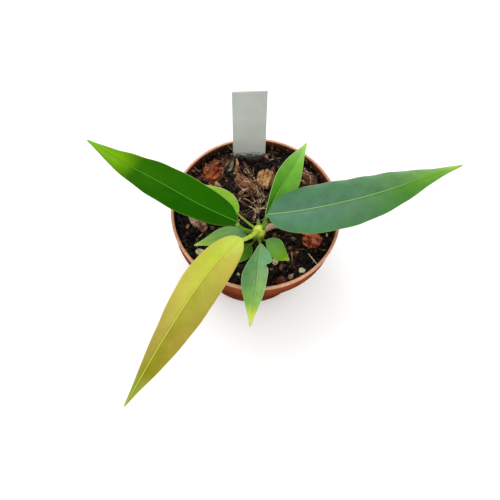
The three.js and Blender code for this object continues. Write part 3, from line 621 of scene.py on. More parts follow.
OVER_RIM = [
    # Stray hairs that reach over the lip, with heights as well.
    [(27, 24.5, 49), (31, 27, 54.6), (36.5, 29.5, 57.5)],
    [(-14, 33.5, 49), (-19, 34.5, 54.8), (-25, 36.5, 57)],
    [(-30, 20, 48.5), (-34, 21, 54.5), (-36, 24, 56)], [(5, 35, 49), (3, 37.5, 54.6), (6.5, 39.8, 56)],
]
CHIP_BOXES = [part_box(node) for node in [*CHIPS, "charcoal", "charcoal_back"]]
CHIP_PLACES = [((low + high) / 2 / MM, (high - low) / 2 / MM) for low, high in CHIP_BOXES]
ROOT_THICK, THIN_ROOT_THICK, ROOT_END_THICK = 0.5, 0.24, 0.75
LONG_HAIR_THICK, HAIR_THICK, STALK_THICK = 0.34, 0.2, 0.65
HAIRS = 230
HAIR_SPREAD = 36                # how far from the axis a loose hair may begin
HAIR_REACH = 36.8               # the same for where it runs to


def ground(x, y):
    """The height of whatever lies at a place, in mm: the mix, or a chip on it."""
    top = soil_height(x, y) + 0.3
    for centre, half in CHIP_PLACES:
        away = hypot((x - centre[0]) / (half[0] + 0.5), (y - centre[1]) / (half[1] + 0.5))
        if away < 1:
            top = max(top, centre[2] + half[2] * (1 - away ** 4) ** 0.5)
    return top


def strands(routes, thickness, sides=5):
    """A bundle of thin round strands, one for each route of points in mm."""
    bpy.ops.object.select_all(action="DESELECT")
    bpy.ops.curve.primitive_nurbs_path_add()
    piece = bpy.context.object
    curve = piece.data
    curve.splines.clear()
    for route in routes:
        line = curve.splines.new("NURBS")
        line.points.add(len(route) - 1)
        line.order_u = 4
        line.use_endpoint_u = True
        for i, (point, target) in enumerate(zip(line.points, route)):
            point.co = (*(Vector(target) * MM), 1)
            point.radius = 1 - 0.65 * i / (len(route) - 1)
    curve.resolution_u = 3
    curve.bevel_resolution = max((sides - 4) // 2, 0)
    curve.bevel_depth = thickness / 2 * MM
    curve.use_fill_caps = True
    bpy.ops.object.convert(target="MESH")
    return piece


def smooth_path(points, count=160):
    """Many points on one smooth curve through a few, spaced evenly along it."""
    ends = [2 * points[0] - points[1], *points, 2 * points[-1] - points[-2]]
    dense = []
    for p0, p1, p2, p3 in zip(ends, ends[1:], ends[2:], ends[3:]):
        d0, d1, d2 = ((a - b).length ** 0.5 for a, b in ((p0, p1), (p1, p2), (p2, p3)))
        m1 = ((p1 - p0) / d0 - (p2 - p0) / (d0 + d1) + (p2 - p1) / d1) * d1
        m2 = ((p2 - p1) / d1 - (p3 - p1) / (d1 + d2) + (p3 - p2) / d2) * d1
        for i in range(40):
            t = i / 40
            a, b = 2 * t ** 3 - 3 * t ** 2, t ** 3 - t ** 2
            dense.append(p1 * (a + 1) + m1 * (b - t ** 2 + t) - p2 * a + m2 * b)
    dense.append(points[-1].copy())
    lengths = [0.0]
    for a, b in zip(dense, dense[1:]):
        lengths.append(lengths[-1] + (b - a).length)
    even, j = [], 0
    for i in range(count + 1):
        target = lengths[-1] * i / count
        while j < len(dense) - 2 and lengths[j + 1] < target:
            j += 1
        t = (target - lengths[j]) / (lengths[j + 1] - lengths[j])
        even.append(dense[j].lerp(dense[j + 1], min(t, 1)))
    return even


def at(path, share):
    """A point of an even path, and the direction ahead there."""
    place = min(max(share, 0), 1) * (len(path) - 1)
    i = min(int(place), len(path) - 2)
    ahead = path[min(i + 2, len(path) - 1)] - path[max(i - 1, 0)]
    return path[i].lerp(path[i + 1], place - i), ahead.normalized()


def laid(route, rng, height, sway, spread=0.0, step=2.2):
    """A route over the ground through places in mm, shifted as a whole by up to spread, with a slow
    sway of so many mm to its sides and up."""
    places = [Vector((x + rng.gauss(0, spread), y + rng.gauss(0, spread), 0)) for x, y in route]
    smooth = smooth_path(places, 30)
    length = sum((b - a).length for a, b in zip(places, places[1:]))
    count = max(int(length / step), 4)
    phase, other = rng.uniform(0, 6), rng.uniform(0, 6)
    points = []
    for i in range(count + 1):
        spot, ahead = at(smooth, i / count)
        along = length * i / count
        aside = sway * sin(along * 0.45 + phase) + 0.4 * sway * sin(along * 1.1 + other)
        x, y = spot.x - ahead.y * aside, spot.y + ahead.x * aside
        lift = height + 0.7 * sway * (1 + sin(along * 0.6 + other))
        points.append((x, y, ground(x, y) + lift))
    return points


rng = random.Random(21)
thick_roots = strands([laid(route, rng, 0.55, 0.25) for route in FIBRES], ROOT_THICK, sides=6)
thin_roots = strands([laid(route, rng, 0.6, 0.9, 1.6) for route in FIBRES], THIN_ROOT_THICK)
long_hairs = strands([laid(route, rng, 1.1, 0.4, 0.35) for route in LONG_HAIRS * 2], LONG_HAIR_THICK)
root_ends = strands([laid(route, rng, 0.7, 0.3) for route in ROOT_ENDS], ROOT_END_THICK, sides=8)
stray_hairs = strands(OVER_RIM, THIN_ROOT_THICK)
dry = join_all([thick_roots, thin_roots, long_hairs, root_ends, stray_hairs])
root_straw = [(0.34, "523521"), (0.64, "ecd0ac"), (0.48, "a47850")]
straw = speckled_skin("dried root skin", 0.75, 3, 0.1, root_straw)
dress(dry, "dry_root_tangle", [straw], ["dry_roots"])

hair_routes = []
while len(hair_routes) < HAIRS:
    angle, away = rng.uniform(0, 2 * pi), HAIR_SPREAD * rng.random() ** 0.42
    x, y, heading = away * cos(angle), away * sin(angle), rng.uniform(0, 2 * pi)
    length, bend = rng.uniform(2.5, 10), rng.gauss(0, 0.3)
    route, inside_pot = [], True
    for i in range(6):
        route.append((x, y, ground(x, y) + 0.5 + rng.uniform(0, 0.8)))
        x += cos(heading) * length / 5
        y += sin(heading) * length / 5
        heading += bend
        inside_pot = inside_pot and hypot(x, y) < HAIR_REACH
    if inside_pot:
        hair_routes.append(route)
hairs = strands(hair_routes, HAIR_THICK)
hair_tones = [(0.35, "2c1a10"), (0.7, "b08a68"), (0.52, "5c3d28")]
hair_skin = speckled_skin("fine dried rootlets", 0.8, 3, 0, hair_tones, detail=3.0)
dress(hairs, "fine_rootlets", [hair_skin], ["dry_roots"])

# The back stalk is painted darker than the right one: painted shade, for the shade at the back of the pot.
STALKS = {
    "dry_stalk_back": ((3.8, 32), (10, 34), ("6e5638", "b0946a")),
    "dry_stalk_right": ((26.9, -16.2), (30.5, -25.5), ("cdb48c", "fdf2dc")),
}
for node, (start, end, (brown, pale)) in STALKS.items():
    tones = [(0.3, brown), (0.58, pale)]
    stalk_skin = speckled_skin("dry straw " + node[10:], 0.6, 2, 0.05, tones, ior=1.45)
    low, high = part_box(node)
    foot, rise = low.z / MM + 0.5, (high.z - low.z) / MM - 0.95
    line = [(*Vector(start).lerp(Vector(end), i / 4), foot + rise * i / 4) for i in range(5)]
    stalk = strands([line], STALK_THICK, sides=8)
    dress(stalk, "straw_" + node[10:], [stalk_skin], [node])

# Stem
# A short thick green stem, no more than a knuckle above the mix, ringed by the scars of old leaves.
# Its fleshy roots go down into the mix, and the leaf stalks leave it one above another.
STEM_FOOT = Vector((2, -10, 38))
STEM_TOP = Vector((2.5, -10.7, 57.6))
STEM_RADIUS = 2.5
KNUCKLES = [(54.2, 1.6, 0.55), (50.6, 1.3, 0.35), (47.6, 1.1, 0.25)]    # height, reach and swelling
ROOTS = [(20, 13, 15), (100, 16, 20), (175, 12, 24), (240, 9, 19), (310, 10, 26)]
ROOT_RADIUS = 1.3
SHOULDER, SHOULDER_REACH = 53.5, 4.4                                    # where the stem's top rounds off


def rod(rings, sides):
    """An upright rod of height and radius 1, cut across into rings, to be bent to a stalk's shape."""
    bpy.ops.object.select_all(action="DESELECT")
    bpy.ops.mesh.primitive_cylinder_add(vertices=sides, radius=1, depth=1, location=(0, 0, 0.5))
    piece = bpy.context.object
    bpy.ops.object.transform_apply(location=True)
    for edge in piece.data.edges:
        ends = [piece.data.vertices[i].co.z for i in edge.vertices]
        edge.select = abs(ends[0] - ends[1]) > 0.5
    for face in piece.data.polygons:
        face.select = False
    bpy.ops.object.mode_set(mode="EDIT")
    bpy.ops.mesh.select_mode(type="EDGE")
    bpy.ops.mesh.subdivide(number_cuts=rings - 1)
    bpy.ops.object.mode_set(mode="OBJECT")
    return piece


def bend_rod(piece, path, radius_at):
    """Bends an upright rod along a path in mm. radius_at gives its radius from share and angle, and
    an angle of 90 degrees is the upper side."""
    for vertex in piece.data.vertices:
        share, angle = vertex.co.z, atan2(vertex.co.y, vertex.co.x)
        centre, ahead = at(path, share)
        right = ahead.cross(Vector((0, 0, 1)))
        right = right.normalized() if right.length > 0.05 else Vector((1, 0, 0))
        up = right.cross(ahead)
        radius = radius_at(share, angle)
        vertex.co = (centre + (right * cos(angle) + up * sin(angle)) * radius) * MM


def stem_radius(share, angle):
    """The stem with a knuckle at each leaf, a shoulder at its top and old scars low down."""
    z = STEM_FOOT.z + share * (STEM_TOP.z - STEM_FOOT.z)
    knuckles = sum(swell * exp(-((z - height) / reach) ** 2) for height, reach, swell in KNUCKLES)
    rings = 0.1 * sin(z * 5.2) * (z < 53)
    lobes = 0.14 * sin(3 * angle + z * 0.8)
    shoulder = max(1 - ((z - SHOULDER) / SHOULDER_REACH) ** 2, 0.02) ** 0.5 if z > SHOULDER else 1
    return STEM_RADIUS * shoulder + (knuckles + rings + lobes) * shoulder


stem = rod(60, 32)
bend_rod(stem, smooth_path([STEM_FOOT, STEM_FOOT.lerp(STEM_TOP, 0.5), STEM_TOP]), stem_radius)
roots = []
for heading, reach, depth in ROOTS:
    out = Vector((cos(radians(heading)), sin(radians(heading)), 0))
    top = STEM_FOOT + Vector((0, 0, 1.4))
    path = smooth_path([
        top, top + out * reach * 0.55 - Vector((0, 0, depth * 0.22)),
        top + out * reach * 0.9 - Vector((0, 0, depth * 0.6)), top + out * reach - Vector((0, 0, depth)),
    ])
    root = rod(24, 12)
    bend_rod(root, path, lambda share, angle: ROOT_RADIUS * (1 - 0.5 * share))
    roots.append(root)
stem = join_all([stem, *roots])

# Young stem skin is smooth and yellow-green above, and corky and browner towards the mix.
stem_skin = new_material("young anthurium stem", 0.42, ior=1.42, specular=0.35)
add = partial(add_node, stem_skin)
place = add("TexCoord").outputs["Object"]
part = add("SeparateXYZ", [place])
spots = add("TexNoise", {"Vector": place, "Scale": 1 / (1.2 * MM), "Detail": 4.0})
level = add("MapRange", [part.outputs[2], 44 * MM, 58 * MM])
blur = add("MapRange", [spots, 0.3, 0.7, -0.08, 0.08])
level = add("Math", [level, blur], operation="ADD")
stem_colour = add("ValToRGB", [level], stops=[
    (0.1, "6a5334"), (0.9, "dcec50"), (0.35, "86a53c"), (0.6, "bed63e"),
])
finish_shader(stem_skin, stem_colour, spots, 0.06 * MM)
dress(stem, "stem", [stem_skin], ["stem"])

# Sheath
# A small papery scale that wrapped the newest leaf while it was a bud, and still stands behind the
# top of the stem. It is one small flattened blade that narrows to a point.
SHEATH_PATH = [(2.4, -10.6, 55.4), (1.7, -8.3, 57.2), (1.3, -7.6, 59.4)]
sheath = rod(30, 20)


def sheath_radius(share, angle):
    """A flattened scale that narrows to a point."""
    return (0.95 - 0.7 * share ** 1.5) * (1 + 0.3 * abs(cos(angle)))


bend_rod(sheath, smooth_path([Vector(point) for point in SHEATH_PATH]), sheath_radius)
scale_skin = new_material("papery leaf scale", 0.55, ior=1.4)
add = partial(add_node, scale_skin)
place = add("TexCoord").outputs["Object"]
part = add("SeparateXYZ", [place])
lined = add("Mapping", {0: place, "Scale": (1, 1, 0.12)})
lines = add("TexNoise", {"Vector": lined, "Scale": 1 / (0.4 * MM), "Detail": 3.0})
level = add("MapRange", [part.outputs[2], 55 * MM, 62 * MM])
level = add("Math", [level, lines], operation="MULTIPLY")
scale_colour = add("ValToRGB", [level], stops=[(0.0, "7a9638"), (0.6, "9c9a6a"), (0.3, "8ba45c")])
finish_shader(scale_skin, scale_colour, lines, 0.1 * MM)
dress(sheath, "leaf_scale", [scale_skin], ["stem_sheath"])

# Aerial root
# A blunt beige root from the side of the stem that bends over and enters the mix. Its skin is
# corky and pinkish, and paler where it is new.
AERIAL_JOINS = 49.6             # height on the stem
AERIAL_PATH = [(5.6, -7.6, 51), (9.8, -4.6, 49.4), (12.4, -1.8, 42.5)]
aerial = rod(48, 20)
aerial_start = STEM_FOOT.lerp(STEM_TOP, (AERIAL_JOINS - STEM_FOOT.z) / (STEM_TOP.z - STEM_FOOT.z))
aerial_path = smooth_path([aerial_start, *(Vector(point) for point in AERIAL_PATH)])


def aerial_radius(share, angle):
    """A root that thins a little, with low rings and swellings."""
    return (1.6 - 0.4 * share) * (1 + 0.05 * sin(share * 40) + 0.05 * sin(2 * angle + share * 9))


bend_rod(aerial, aerial_path, aerial_radius)
root_tones = [(0.3, "b08060"), (0.7, "ecc8ae")]
root_skin = speckled_skin("corky root skin", 0.7, 1.1, 0.15, root_tones, detail=5.0, specular=0.35)
dress(aerial, "aerial_root_stub", [root_skin], ["aerial_root"])

# Leaves
# Nine strap-shaped leaves, each a thin leathery blade on a channelled stalk with a thicker knee
# under the blade. The midrib runs on from the stalk and stands out more below than above.
BLADE_THICK = 0.45
VEIN_SPACING = 4.5


def between(rows, column, s):
    """A smooth value at s between rows of an outline. A row's first number is its place."""
    i = 0
    while i < len(rows) - 2 and s > rows[i + 1][0]:
        i += 1
    here, after = rows[i], rows[i + 1]
    before, beyond = rows[max(i - 1, 0)], rows[min(i + 2, len(rows) - 1)]
    span = after[0] - here[0]
    t = (s - here[0]) / span
    slope_in = span * (after[column] - before[column]) / (after[0] - before[0])
    slope_out = span * (beyond[column] - here[column]) / (beyond[0] - here[0])
    a, b = 2 * t ** 3 - 3 * t ** 2, t ** 3 - t ** 2
    return (a + 1) * here[column] + (b - t ** 2 + t) * slope_in - a * after[column] + b * slope_out


def blade(rib, outline, droop, wave, rows, columns):
    """A leaf blade from its midrib's points and rows of place, left and right half width in mm, seen
    from above with the tip ahead. droop: degrees that the left and right half fall, at base and tip."""
    path = smooth_path([Vector(p) for p in rib])
    length = sum((b - a).length for a, b in zip(path, path[1:]))
    bpy.ops.object.select_all(action="DESELECT")
    bpy.ops.mesh.primitive_grid_add(x_subdivisions=columns, y_subdivisions=rows, size=2)
    piece = bpy.context.object
    shares, measures = [], []
    for vertex in piece.data.vertices:
        v = abs(vertex.co.x) ** 1.35 * (1 if vertex.co.x > 0 else -1)
        even = (vertex.co.y + 1) / 2
        s = min(max(even - 0.6 * sin(2 * pi * even) / (2 * pi), 0), 1)
        centre, ahead = at(path, s)
        right = ahead.cross(Vector((0, 0, 1))).normalized()
        normal = right.cross(ahead)
        side = 0 if v < 0 else 1
        angle = radians(droop[side] + (droop[side + 2] - droop[side]) * s)
        reach = v * between(outline, side + 1, s)
        fall = abs(reach) * abs(v) ** 0.4
        crown = 0.05 * abs(reach) * sin(pi * abs(v))
        ripple = wave * abs(v) ** 2.5 * sin(length * s * 0.42 + side * 2.1) * sin(pi * s)
        channel = (0.16 * exp(-(reach / 0.3) ** 2) - 0.22 * exp(-(reach / 1.5) ** 2)) * (1 - s)
        lift = crown + ripple + channel - fall * sin(angle)
        vertex.co = (centre + right * reach * cos(angle) + normal * lift) * MM
        shares.append((0.5 + 0.5 * v, s))
        measures.append((reach, length * s))
    for name, places in (("share", shares), ("measure", measures)):
        layer = piece.data.uv_layers.get(name) or piece.data.uv_layers.new(name=name)
        for loop in piece.data.loops:
            layer.data[loop.index].uv = places[loop.vertex_index]
    return piece


def side_veins(add, mm, across, mottle, wander):
    """Places along the side veins, which leave the midrib outwards and ahead, and the distance to the
    nearest of them as a share of their spacing. wander: how far the mottling shifts them, in mm."""
    slant = add("Math", [mm.outputs[1], across], operation="SUBTRACT")
    bent = add("Math", [mottle, wander, slant], operation="MULTIPLY_ADD")
    spaced = add("Math", [bent, VEIN_SPACING], operation="DIVIDE")
    return slant, add("Math", [spaced, 0.5], operation="PINGPONG")


def leaf_skin(name, left, right, rib, margins, outer, streak=0.03, cloud=0.1, veins=0.0, fade=0.6,
              scars=0.0, roughness=0.42, specular=0.2):
    """The upper skin of a leaf. left and right: places along the blade and colours of that half, and
    margins the colours of their edges. outer: a tint towards the margins and its strength. streak,
    cloud and veins: strength of the streaks, mottling and side veins. fade: where the midrib ends."""
    skin = new_material(name, roughness, ior=1.42, specular=specular)
    add = partial(add_node, skin)
    share = add("UVMap", {}, uv_map="share")
    share = add("SeparateXYZ", [share])
    measure = add("UVMap", {}, uv_map="measure")
    mm = add("SeparateXYZ", [measure])
    across = add("Math", [mm], operation="ABSOLUTE")
    side = add("MapRange", [mm, -0.5, 0.5])
    left_ramp = add("ValToRGB", [share.outputs[1]], stops=left)
    right_ramp = add("ValToRGB", [share.outputs[1]], stops=right)
    colour = add("Mix", {0: side, 6: left_ramp, 7: right_ramp}, data_type="RGBA").outputs[2]
    towards_edge = add("Math", [share, 0.5], operation="SUBTRACT")
    towards_edge = add("Math", [towards_edge], operation="ABSOLUTE")
    towards_edge = add("Math", [towards_edge, 2.0], operation="MULTIPLY")
    mottle = add("TexNoise", {"Vector": measure, "Scale": 1 / 6, "Detail": 4.0})
    clouded = add("Math", [mottle, 0.9, towards_edge], operation="MULTIPLY_ADD")
    tinted = add("MapRange", [clouded, 0.75, 1.45, 0.0, outer[1]])
    colour = add("Mix", {0: tinted, 6: colour, 7: outer[0]}, data_type="RGBA").outputs[2]

    # The midrib lies in a channel, and the blade beside it is painted darker, as painted shade. Streaks and
    # side veins leave it outwards and ahead.
    slant, vein = side_veins(add, mm, across, mottle, 2.6)
    brushed = add("CombineXYZ", [slant, mm])
    brushed = add("Mapping", {0: brushed, "Scale": (1 / 1.3, 1 / 8, 1)})
    strokes = add("TexNoise", {"Vector": brushed, "Scale": 1.0, "Detail": 5.0})
    light = add("MapRange", [strokes, 0.3, 0.7, 1 - streak, 1 + streak])
    soft = add("MapRange", [mottle, 0.32, 0.68, 1 - cloud, 1 + cloud])
    light = add("Math", [light, soft], operation="MULTIPLY")
    # Painted shade: a band on each side of the midrib is painted darker.
    channel = add("MapRange", [across, 0.3, 1.1, 0.86, 1.0])
    light = add("Math", [light, channel], operation="MULTIPLY")
    vein = add("MapRange", [vein, 0.0, 0.08, 1.0, 0.0], interpolation_type="SMOOTHSTEP")
    light = add("Math", [vein, veins, light], operation="MULTIPLY_ADD")
    colour = add("Mix", {0: 1.0, 6: colour, 7: light}, data_type="RGBA", blend_type="MULTIPLY").outputs[2]

    # The midrib shows as a thin light line that fades out, and each margin has a clear edge.
    near_rib = add("MapRange", [across, 0.06, 0.28, 1.0, 0.0], interpolation_type="SMOOTHSTEP")
    lasting = add("MapRange", [share.outputs[1], fade, fade + 0.35, 0.9, 0.0])
    near_rib = add("Math", [near_rib, lasting], operation="MULTIPLY")
    colour = add("Mix", {0: near_rib, 6: colour, 7: rib}, data_type="RGBA").outputs[2]
    half = add("Math", [across, towards_edge], operation="DIVIDE")
    inset = add("Math", [half, across], operation="SUBTRACT")
    at_margin = add("MapRange", [inset, 0.1, 0.38, 0.75, 0.0])
    edge = add("Mix", {0: side, 6: margins[0], 7: margins[1]}, data_type="RGBA").outputs[2]
    colour = add("Mix", {0: at_margin, 6: colour, 7: edge}, data_type="RGBA").outputs[2]

    # Old rubs and bites have healed as pale scars near the midrib.
    if scars:
        long_marks = add("Mapping", {0: measure, "Scale": (1.2, 0.15, 1)})
        torn = add("TexNoise", {"Vector": long_marks, "Scale": 1.0, "Detail": 5.0})
        torn = add("MapRange", [torn, 0.58, 0.66, 0.0, scars])
        middle = add("MapRange", [across, 0.7, 2.4, 1.0, 0.0])
        torn = add("Math", [torn, middle], operation="MULTIPLY")
        colour = add("Mix", {0: torn, 6: colour, 7: "c6d6b0"}, data_type="RGBA").outputs[2]
    relief = add("Math", [vein, -0.3, strokes], operation="MULTIPLY_ADD")
    finish_shader(skin, colour, relief, 0.07 * MM)
    return skin


def underside(name, colour, vein_colour):
    """The paler, duller lower skin of a leaf, with its side veins raised and small dark glands."""
    skin = new_material(name, 0.6, ior=1.4, specular=0.25)
    add = partial(add_node, skin)
    measure = add("UVMap", {}, uv_map="measure")
    mm = add("SeparateXYZ", [measure])
    across = add("Math", [mm], operation="ABSOLUTE")
    mottle = add("TexNoise", {"Vector": measure, "Scale": 1 / 4, "Detail": 4.0})
    _, vein = side_veins(add, mm, across, mottle, 2.2)
    vein = add("MapRange", [vein, 0.0, 0.12, 0.6, 0.0])
    colour = add("Mix", {0: vein, 6: colour, 7: vein_colour}, data_type="RGBA").outputs[2]
    gland = add("TexVoronoi", {"Vector": measure, "Scale": 1 / 1.6})
    gland = add("MapRange", [gland, 0.08, 0.16, 0.35, 0.0])
    colour = add("Mix", {0: gland, 6: colour, 7: "4a4a20"}, data_type="RGBA").outputs[2]
    finish_shader(skin, colour, vein, 0.2 * MM)
    return skin


def stalk_and_rib(rib, joins, thick):
    """A leaf's stalk from the stem to its knee, and its midrib on to the tip, as one strand."""
    base = Vector(rib[0])
    ahead = (Vector(rib[1]) - base).normalized()
    start = STEM_FOOT.lerp(STEM_TOP, (joins - STEM_FOOT.z) / (STEM_TOP.z - STEM_FOOT.z))
    outwards = Vector((base.x - start.x, base.y - start.y, 0)).normalized()
    start = start + outwards * STEM_RADIUS / 2
    under = base - ahead * 0.4 - Vector((0, 0, 1.6 + thick))
    middle = start.lerp(under, 0.45) + outwards * 0.06 * (start - base).length
    stalk_path = smooth_path([start, middle, under, base + ahead * 1.4])
    stalk = rod(64, 20)

    def stalk_radius(share, angle):
        foot = 0.35 * max(1 - share / 0.3, 0) ** 2
        knee = 0.22 * exp(-((share - 0.84) / 0.07) ** 2)
        groove = 0.3 * exp(-((angle - pi / 2) / 0.55) ** 2) * min(share / 0.15, 1) * (1 - share ** 6)
        end = 1 - 0.75 * max((share - 0.93) / 0.07, 0) ** 2
        return thick * (1 + foot + knee - 0.25 * share - groove) * end

    bend_rod(stalk, stalk_path, stalk_radius)
    rib_path = smooth_path([Vector(p) for p in rib])
    midrib = rod(90, 12)

    def rib_radius(share, angle):
        size = 0.15 + 0.45 * thick * (1 - share) ** 0.7
        return size * (1.0 if sin(angle) < 0 else 0.8)

    sunk = []
    for i, point in enumerate(rib_path):
        depth = rib_radius(i / (len(rib_path) - 1), 1) - BLADE_THICK / 2 + 0.3
        sunk.append(point - Vector((0, 0, depth)))
    bend_rod(midrib, sunk, rib_radius)
    return join_all([stalk, midrib])


def make_leaf(name, node, slot, rib, outline, droop, petiole, joins, upper, lower, stalk, grid,
              wave=0.35, **look):
    """One whole leaf: blade, stalk and midrib, tied to its solid in the frame. upper and look are the
    colours and strengths that leaf_skin takes, lower those of the underside, stalk those of the stalk."""
    title = name.replace("_", " ")
    piece = blade(rib, outline, droop, wave, *grid)
    piece.data.materials.append(leaf_skin(title + " upper skin", *upper, **look))
    piece.data.materials.append(underside(title + " lower skin", *lower))
    apply_modifier(piece, "SOLIDIFY", thickness=BLADE_THICK * MM, offset=0, material_offset=1)
    strand = stalk_and_rib(rib, joins, petiole)
    tones = [(0.3, stalk[0]), (0.7, stalk[1])]
    skin = speckled_skin(title + " stalk", 0.42, 2.5, 0.08, tones, ior=1.42, specular=0.3)
    strand.data.materials.append(skin)
    join_all([piece, strand])
    dress(piece, name, [], [node])


# Each ramp runs from a leaf's base to its tip. The pale yellow-green towards most tips is painted light,
# for light that shines through the thin tip.
LEFT_NEAR = [
    (0, "1b5000"), (1, "84ca30"), (0.3, "1a5800"), (0.6, "2b6400"), (0.73, "70a40c"), (0.9, "7ab020"),
]
LEFT_FAR = [
    (0, "1f5f00"), (1, "84ca30"), (0.3, "236200"), (0.6, "2e6500"), (0.73, "70a408"), (0.9, "7ab020"),
]
make_leaf(
    "left_leaf", "leaf_left", "leaf_deep",
    rib=[(-7.7, -15.4, 70), (-24.5, -11.4, 74.5), (-43.2, -3.2, 75.5), (-63.1, 7.2, 72.5), (-81.8, 20, 66)],
    outline=[
        (0, 0.9, 0.9), (0.02, 3, 3.4), (0.06, 5, 6.2), (0.16, 7.2, 8.4), (0.3, 8.8, 9.2),
        (0.46, 8.7, 8.6), (0.64, 6.5, 6.3), (0.8, 3.6, 3.4), (0.92, 1.5, 1.4), (1, 0.3, 0.3),
    ],
    droop=(-10, -10, -8, -10), petiole=1.1, joins=52.1,
    upper=(LEFT_NEAR, LEFT_FAR, "54922e", ("4a7412", "8ab858"), ("184c00", 0.3)),
    lower=("5d8a3c", "7ba552"), stalk=("4d7a1e", "86b03c"), grid=(90, 26),
    streak=0.04, specular=0.02,
)
# The right leaf's greyish tone is partly its own blue-green and partly painted sheen, which is painted
# strongest on its near half.
RIGHT_FAR = [
    (0, "447354"), (1, "a8d652"), (0.22, "467155"), (0.42, "477650"), (0.63, "517f41"), (0.85, "6fa82b"),
]
RIGHT_NEAR = [
    (0, "51805f"), (1, "a8d652"), (0.22, "527e62"), (0.42, "537d56"), (0.63, "47811e"), (0.85, "6da52a"),
]
make_leaf(
    "right_leaf", "leaf_right", "leaf_blue",
    rib=[
        (5.3, -10.5, 71), (18.1, -9.2, 75), (36.3, -4.2, 77.8), (54.1, 3.7, 77.3), (74.7, 16.2, 73.5),
        (93.5, 28.3, 68),
    ],
    outline=[
        (0, 0.9, 0.9), (0.02, 7.6, 4.4), (0.06, 12.4, 7.5), (0.15, 14.6, 10.5), (0.28, 15.1, 11.6),
        (0.43, 14.2, 10.8), (0.6, 12.3, 7.9), (0.7, 9.8, 5.7), (0.82, 5.1, 2.9), (0.93, 2, 1.2),
        (1, 0.3, 0.3),
    ],
    droop=(20, 12, 30, 12), petiole=0.8, joins=55.6,
    upper=(RIGHT_FAR, RIGHT_NEAR, "8fb858", ("b4b88c", "8fa85c"), ("37782f", 0.5)),
    lower=("6d9468", "8bb07c"), stalk=("4d7a2e", "7fa83c"), grid=(96, 30),
    streak=0.06, cloud=0.13, fade=0.5, roughness=0.36, specular=0.25,
)
NEW_NEAR = [
    (0, "c3d85a"), (1, "9b9657"), (0.16, "bab345"), (0.36, "a2a237"), (0.6, "9c902c"), (0.8, "84850e"),
    (0.93, "86a038"),
]
NEW_FAR = [
    (0, "c3d85a"), (1, "9b9657"), (0.16, "b8c83e"), (0.36, "c2c24a"), (0.6, "ad9f46"), (0.8, "919231"),
    (0.93, "86a038"),
]
make_leaf(
    "new_leaf", "leaf_new", "leaf_new",
    rib=[
        (-5.1, -24.4, 73), (-12.1, -34.6, 75), (-20.8, -49.5, 73.5), (-31.4, -70.4, 67.5),
        (-44.6, -97.6, 55),
    ],
    outline=[
        (0, 0.9, 0.9), (0.02, 3, 3), (0.06, 5.4, 5), (0.15, 8, 6.8), (0.28, 9.6, 7.9),
        (0.44, 10, 7), (0.6, 8.6, 5.1), (0.76, 5.8, 3.2), (0.9, 2.4, 1.4), (1, 0.3, 0.3),
    ],
    droop=(-8, -8, -4, -4), petiole=1.1, joins=55.7,
    upper=(NEW_NEAR, NEW_FAR, "cdd040", ("c9c04e", "cfc862"), ("ae8d48", 0.35)),
    lower=("b8ad62", "cfc684"), stalk=("9cbc38", "cce255"), grid=(90, 26),
    streak=0.02, cloud=0.08, fade=0.85, specular=0.1,
)
# The back leaf is painted brighter than its own green: painted light, for light shining through it.
BACK_LEFT = [
    (0, "205600"), (1, "bce680"), (0.4, "4a8820"), (0.7, "659f38"), (0.9, "92c560"),
]
BACK_RIGHT = [
    (0, "2a6008"), (1, "b4e07c"), (0.4, "5b9730"), (0.7, "73af3a"), (0.9, "a0d068"),
]
make_leaf(
    "back_leaf", "leaf_back", "leaf_mid",
    rib=[(4.8, -6.6, 61), (8.4, 1.8, 66), (13.5, 13.9, 69), (19.8, 29.6, 69.5)],
    outline=[
        (0, 0.6, 0.6), (0.05, 1.2, 2.2), (0.15, 2.2, 4.8), (0.3, 3.6, 6.8), (0.5, 5, 6.6),
        (0.7, 4.3, 4.2), (0.86, 2.2, 1.9), (1, 0.3, 0.3),
    ],
    droop=(-6, -6, 4, 4), petiole=0.75, joins=52.2,
    upper=(BACK_LEFT, BACK_RIGHT, "6ca63a", ("b9dc86", "9fd060"), ("5a9a30", 0.2)),
    lower=("7fa858", "98bd6e"), stalk=("5d8f2c", "8fb949"), grid=(60, 22), wave=0.25,
    streak=0.05, fade=0.3, specular=0.06,
)
FRONT_LEFT = [
    (0, "73a06a"), (1, "ecea58"), (0.22, "70a87b"), (0.4, "83a86b"), (0.75, "8aba54"), (0.86, "dce84e"),
]
FRONT_RIGHT = [
    (0, "739d56"), (1, "ecea58"), (0.3, "5f9458"), (0.5, "6a9b5c"), (0.75, "84b650"), (0.86, "d4e44a"),
]
make_leaf(
    "front_leaf", "leaf_front", "leaf_mid",
    rib=[(3.9, -18.7, 57), (3.8, -29, 60), (3.9, -39.7, 60.5), (3.6, -48.6, 58), (3.1, -56.9, 53)],
    outline=[
        (0, 0.6, 0.6), (0.06, 2.4, 1.6), (0.14, 4.6, 2.6), (0.22, 5.6, 3.8), (0.25, 5.4, 4.3),
        (0.29, 3.2, 5), (0.34, 4.4, 5.8), (0.45, 4.3, 7), (0.6, 3.7, 6.3), (0.75, 2.5, 4.1),
        (0.9, 1, 1.6), (1, 0.3, 0.3),
    ],
    droop=(-4, -4, 6, 6), petiole=0.7, joins=50.6,
    upper=(FRONT_LEFT, FRONT_RIGHT, "93b86c", ("b4cf98", "a9cf8c"), ("5d9a58", 0.3)),
    lower=("7fa86c", "98bd84"), stalk=("5f9236", "8fb950"), grid=(100, 22), wave=0.3,
    streak=0.1, cloud=0.14, scars=0.45, specular=0.2,
)
SMALL_RIGHT = [(0, "64a058"), (1, "a0cc34"), (0.45, "6fa344"), (0.8, "6f9e0e")]
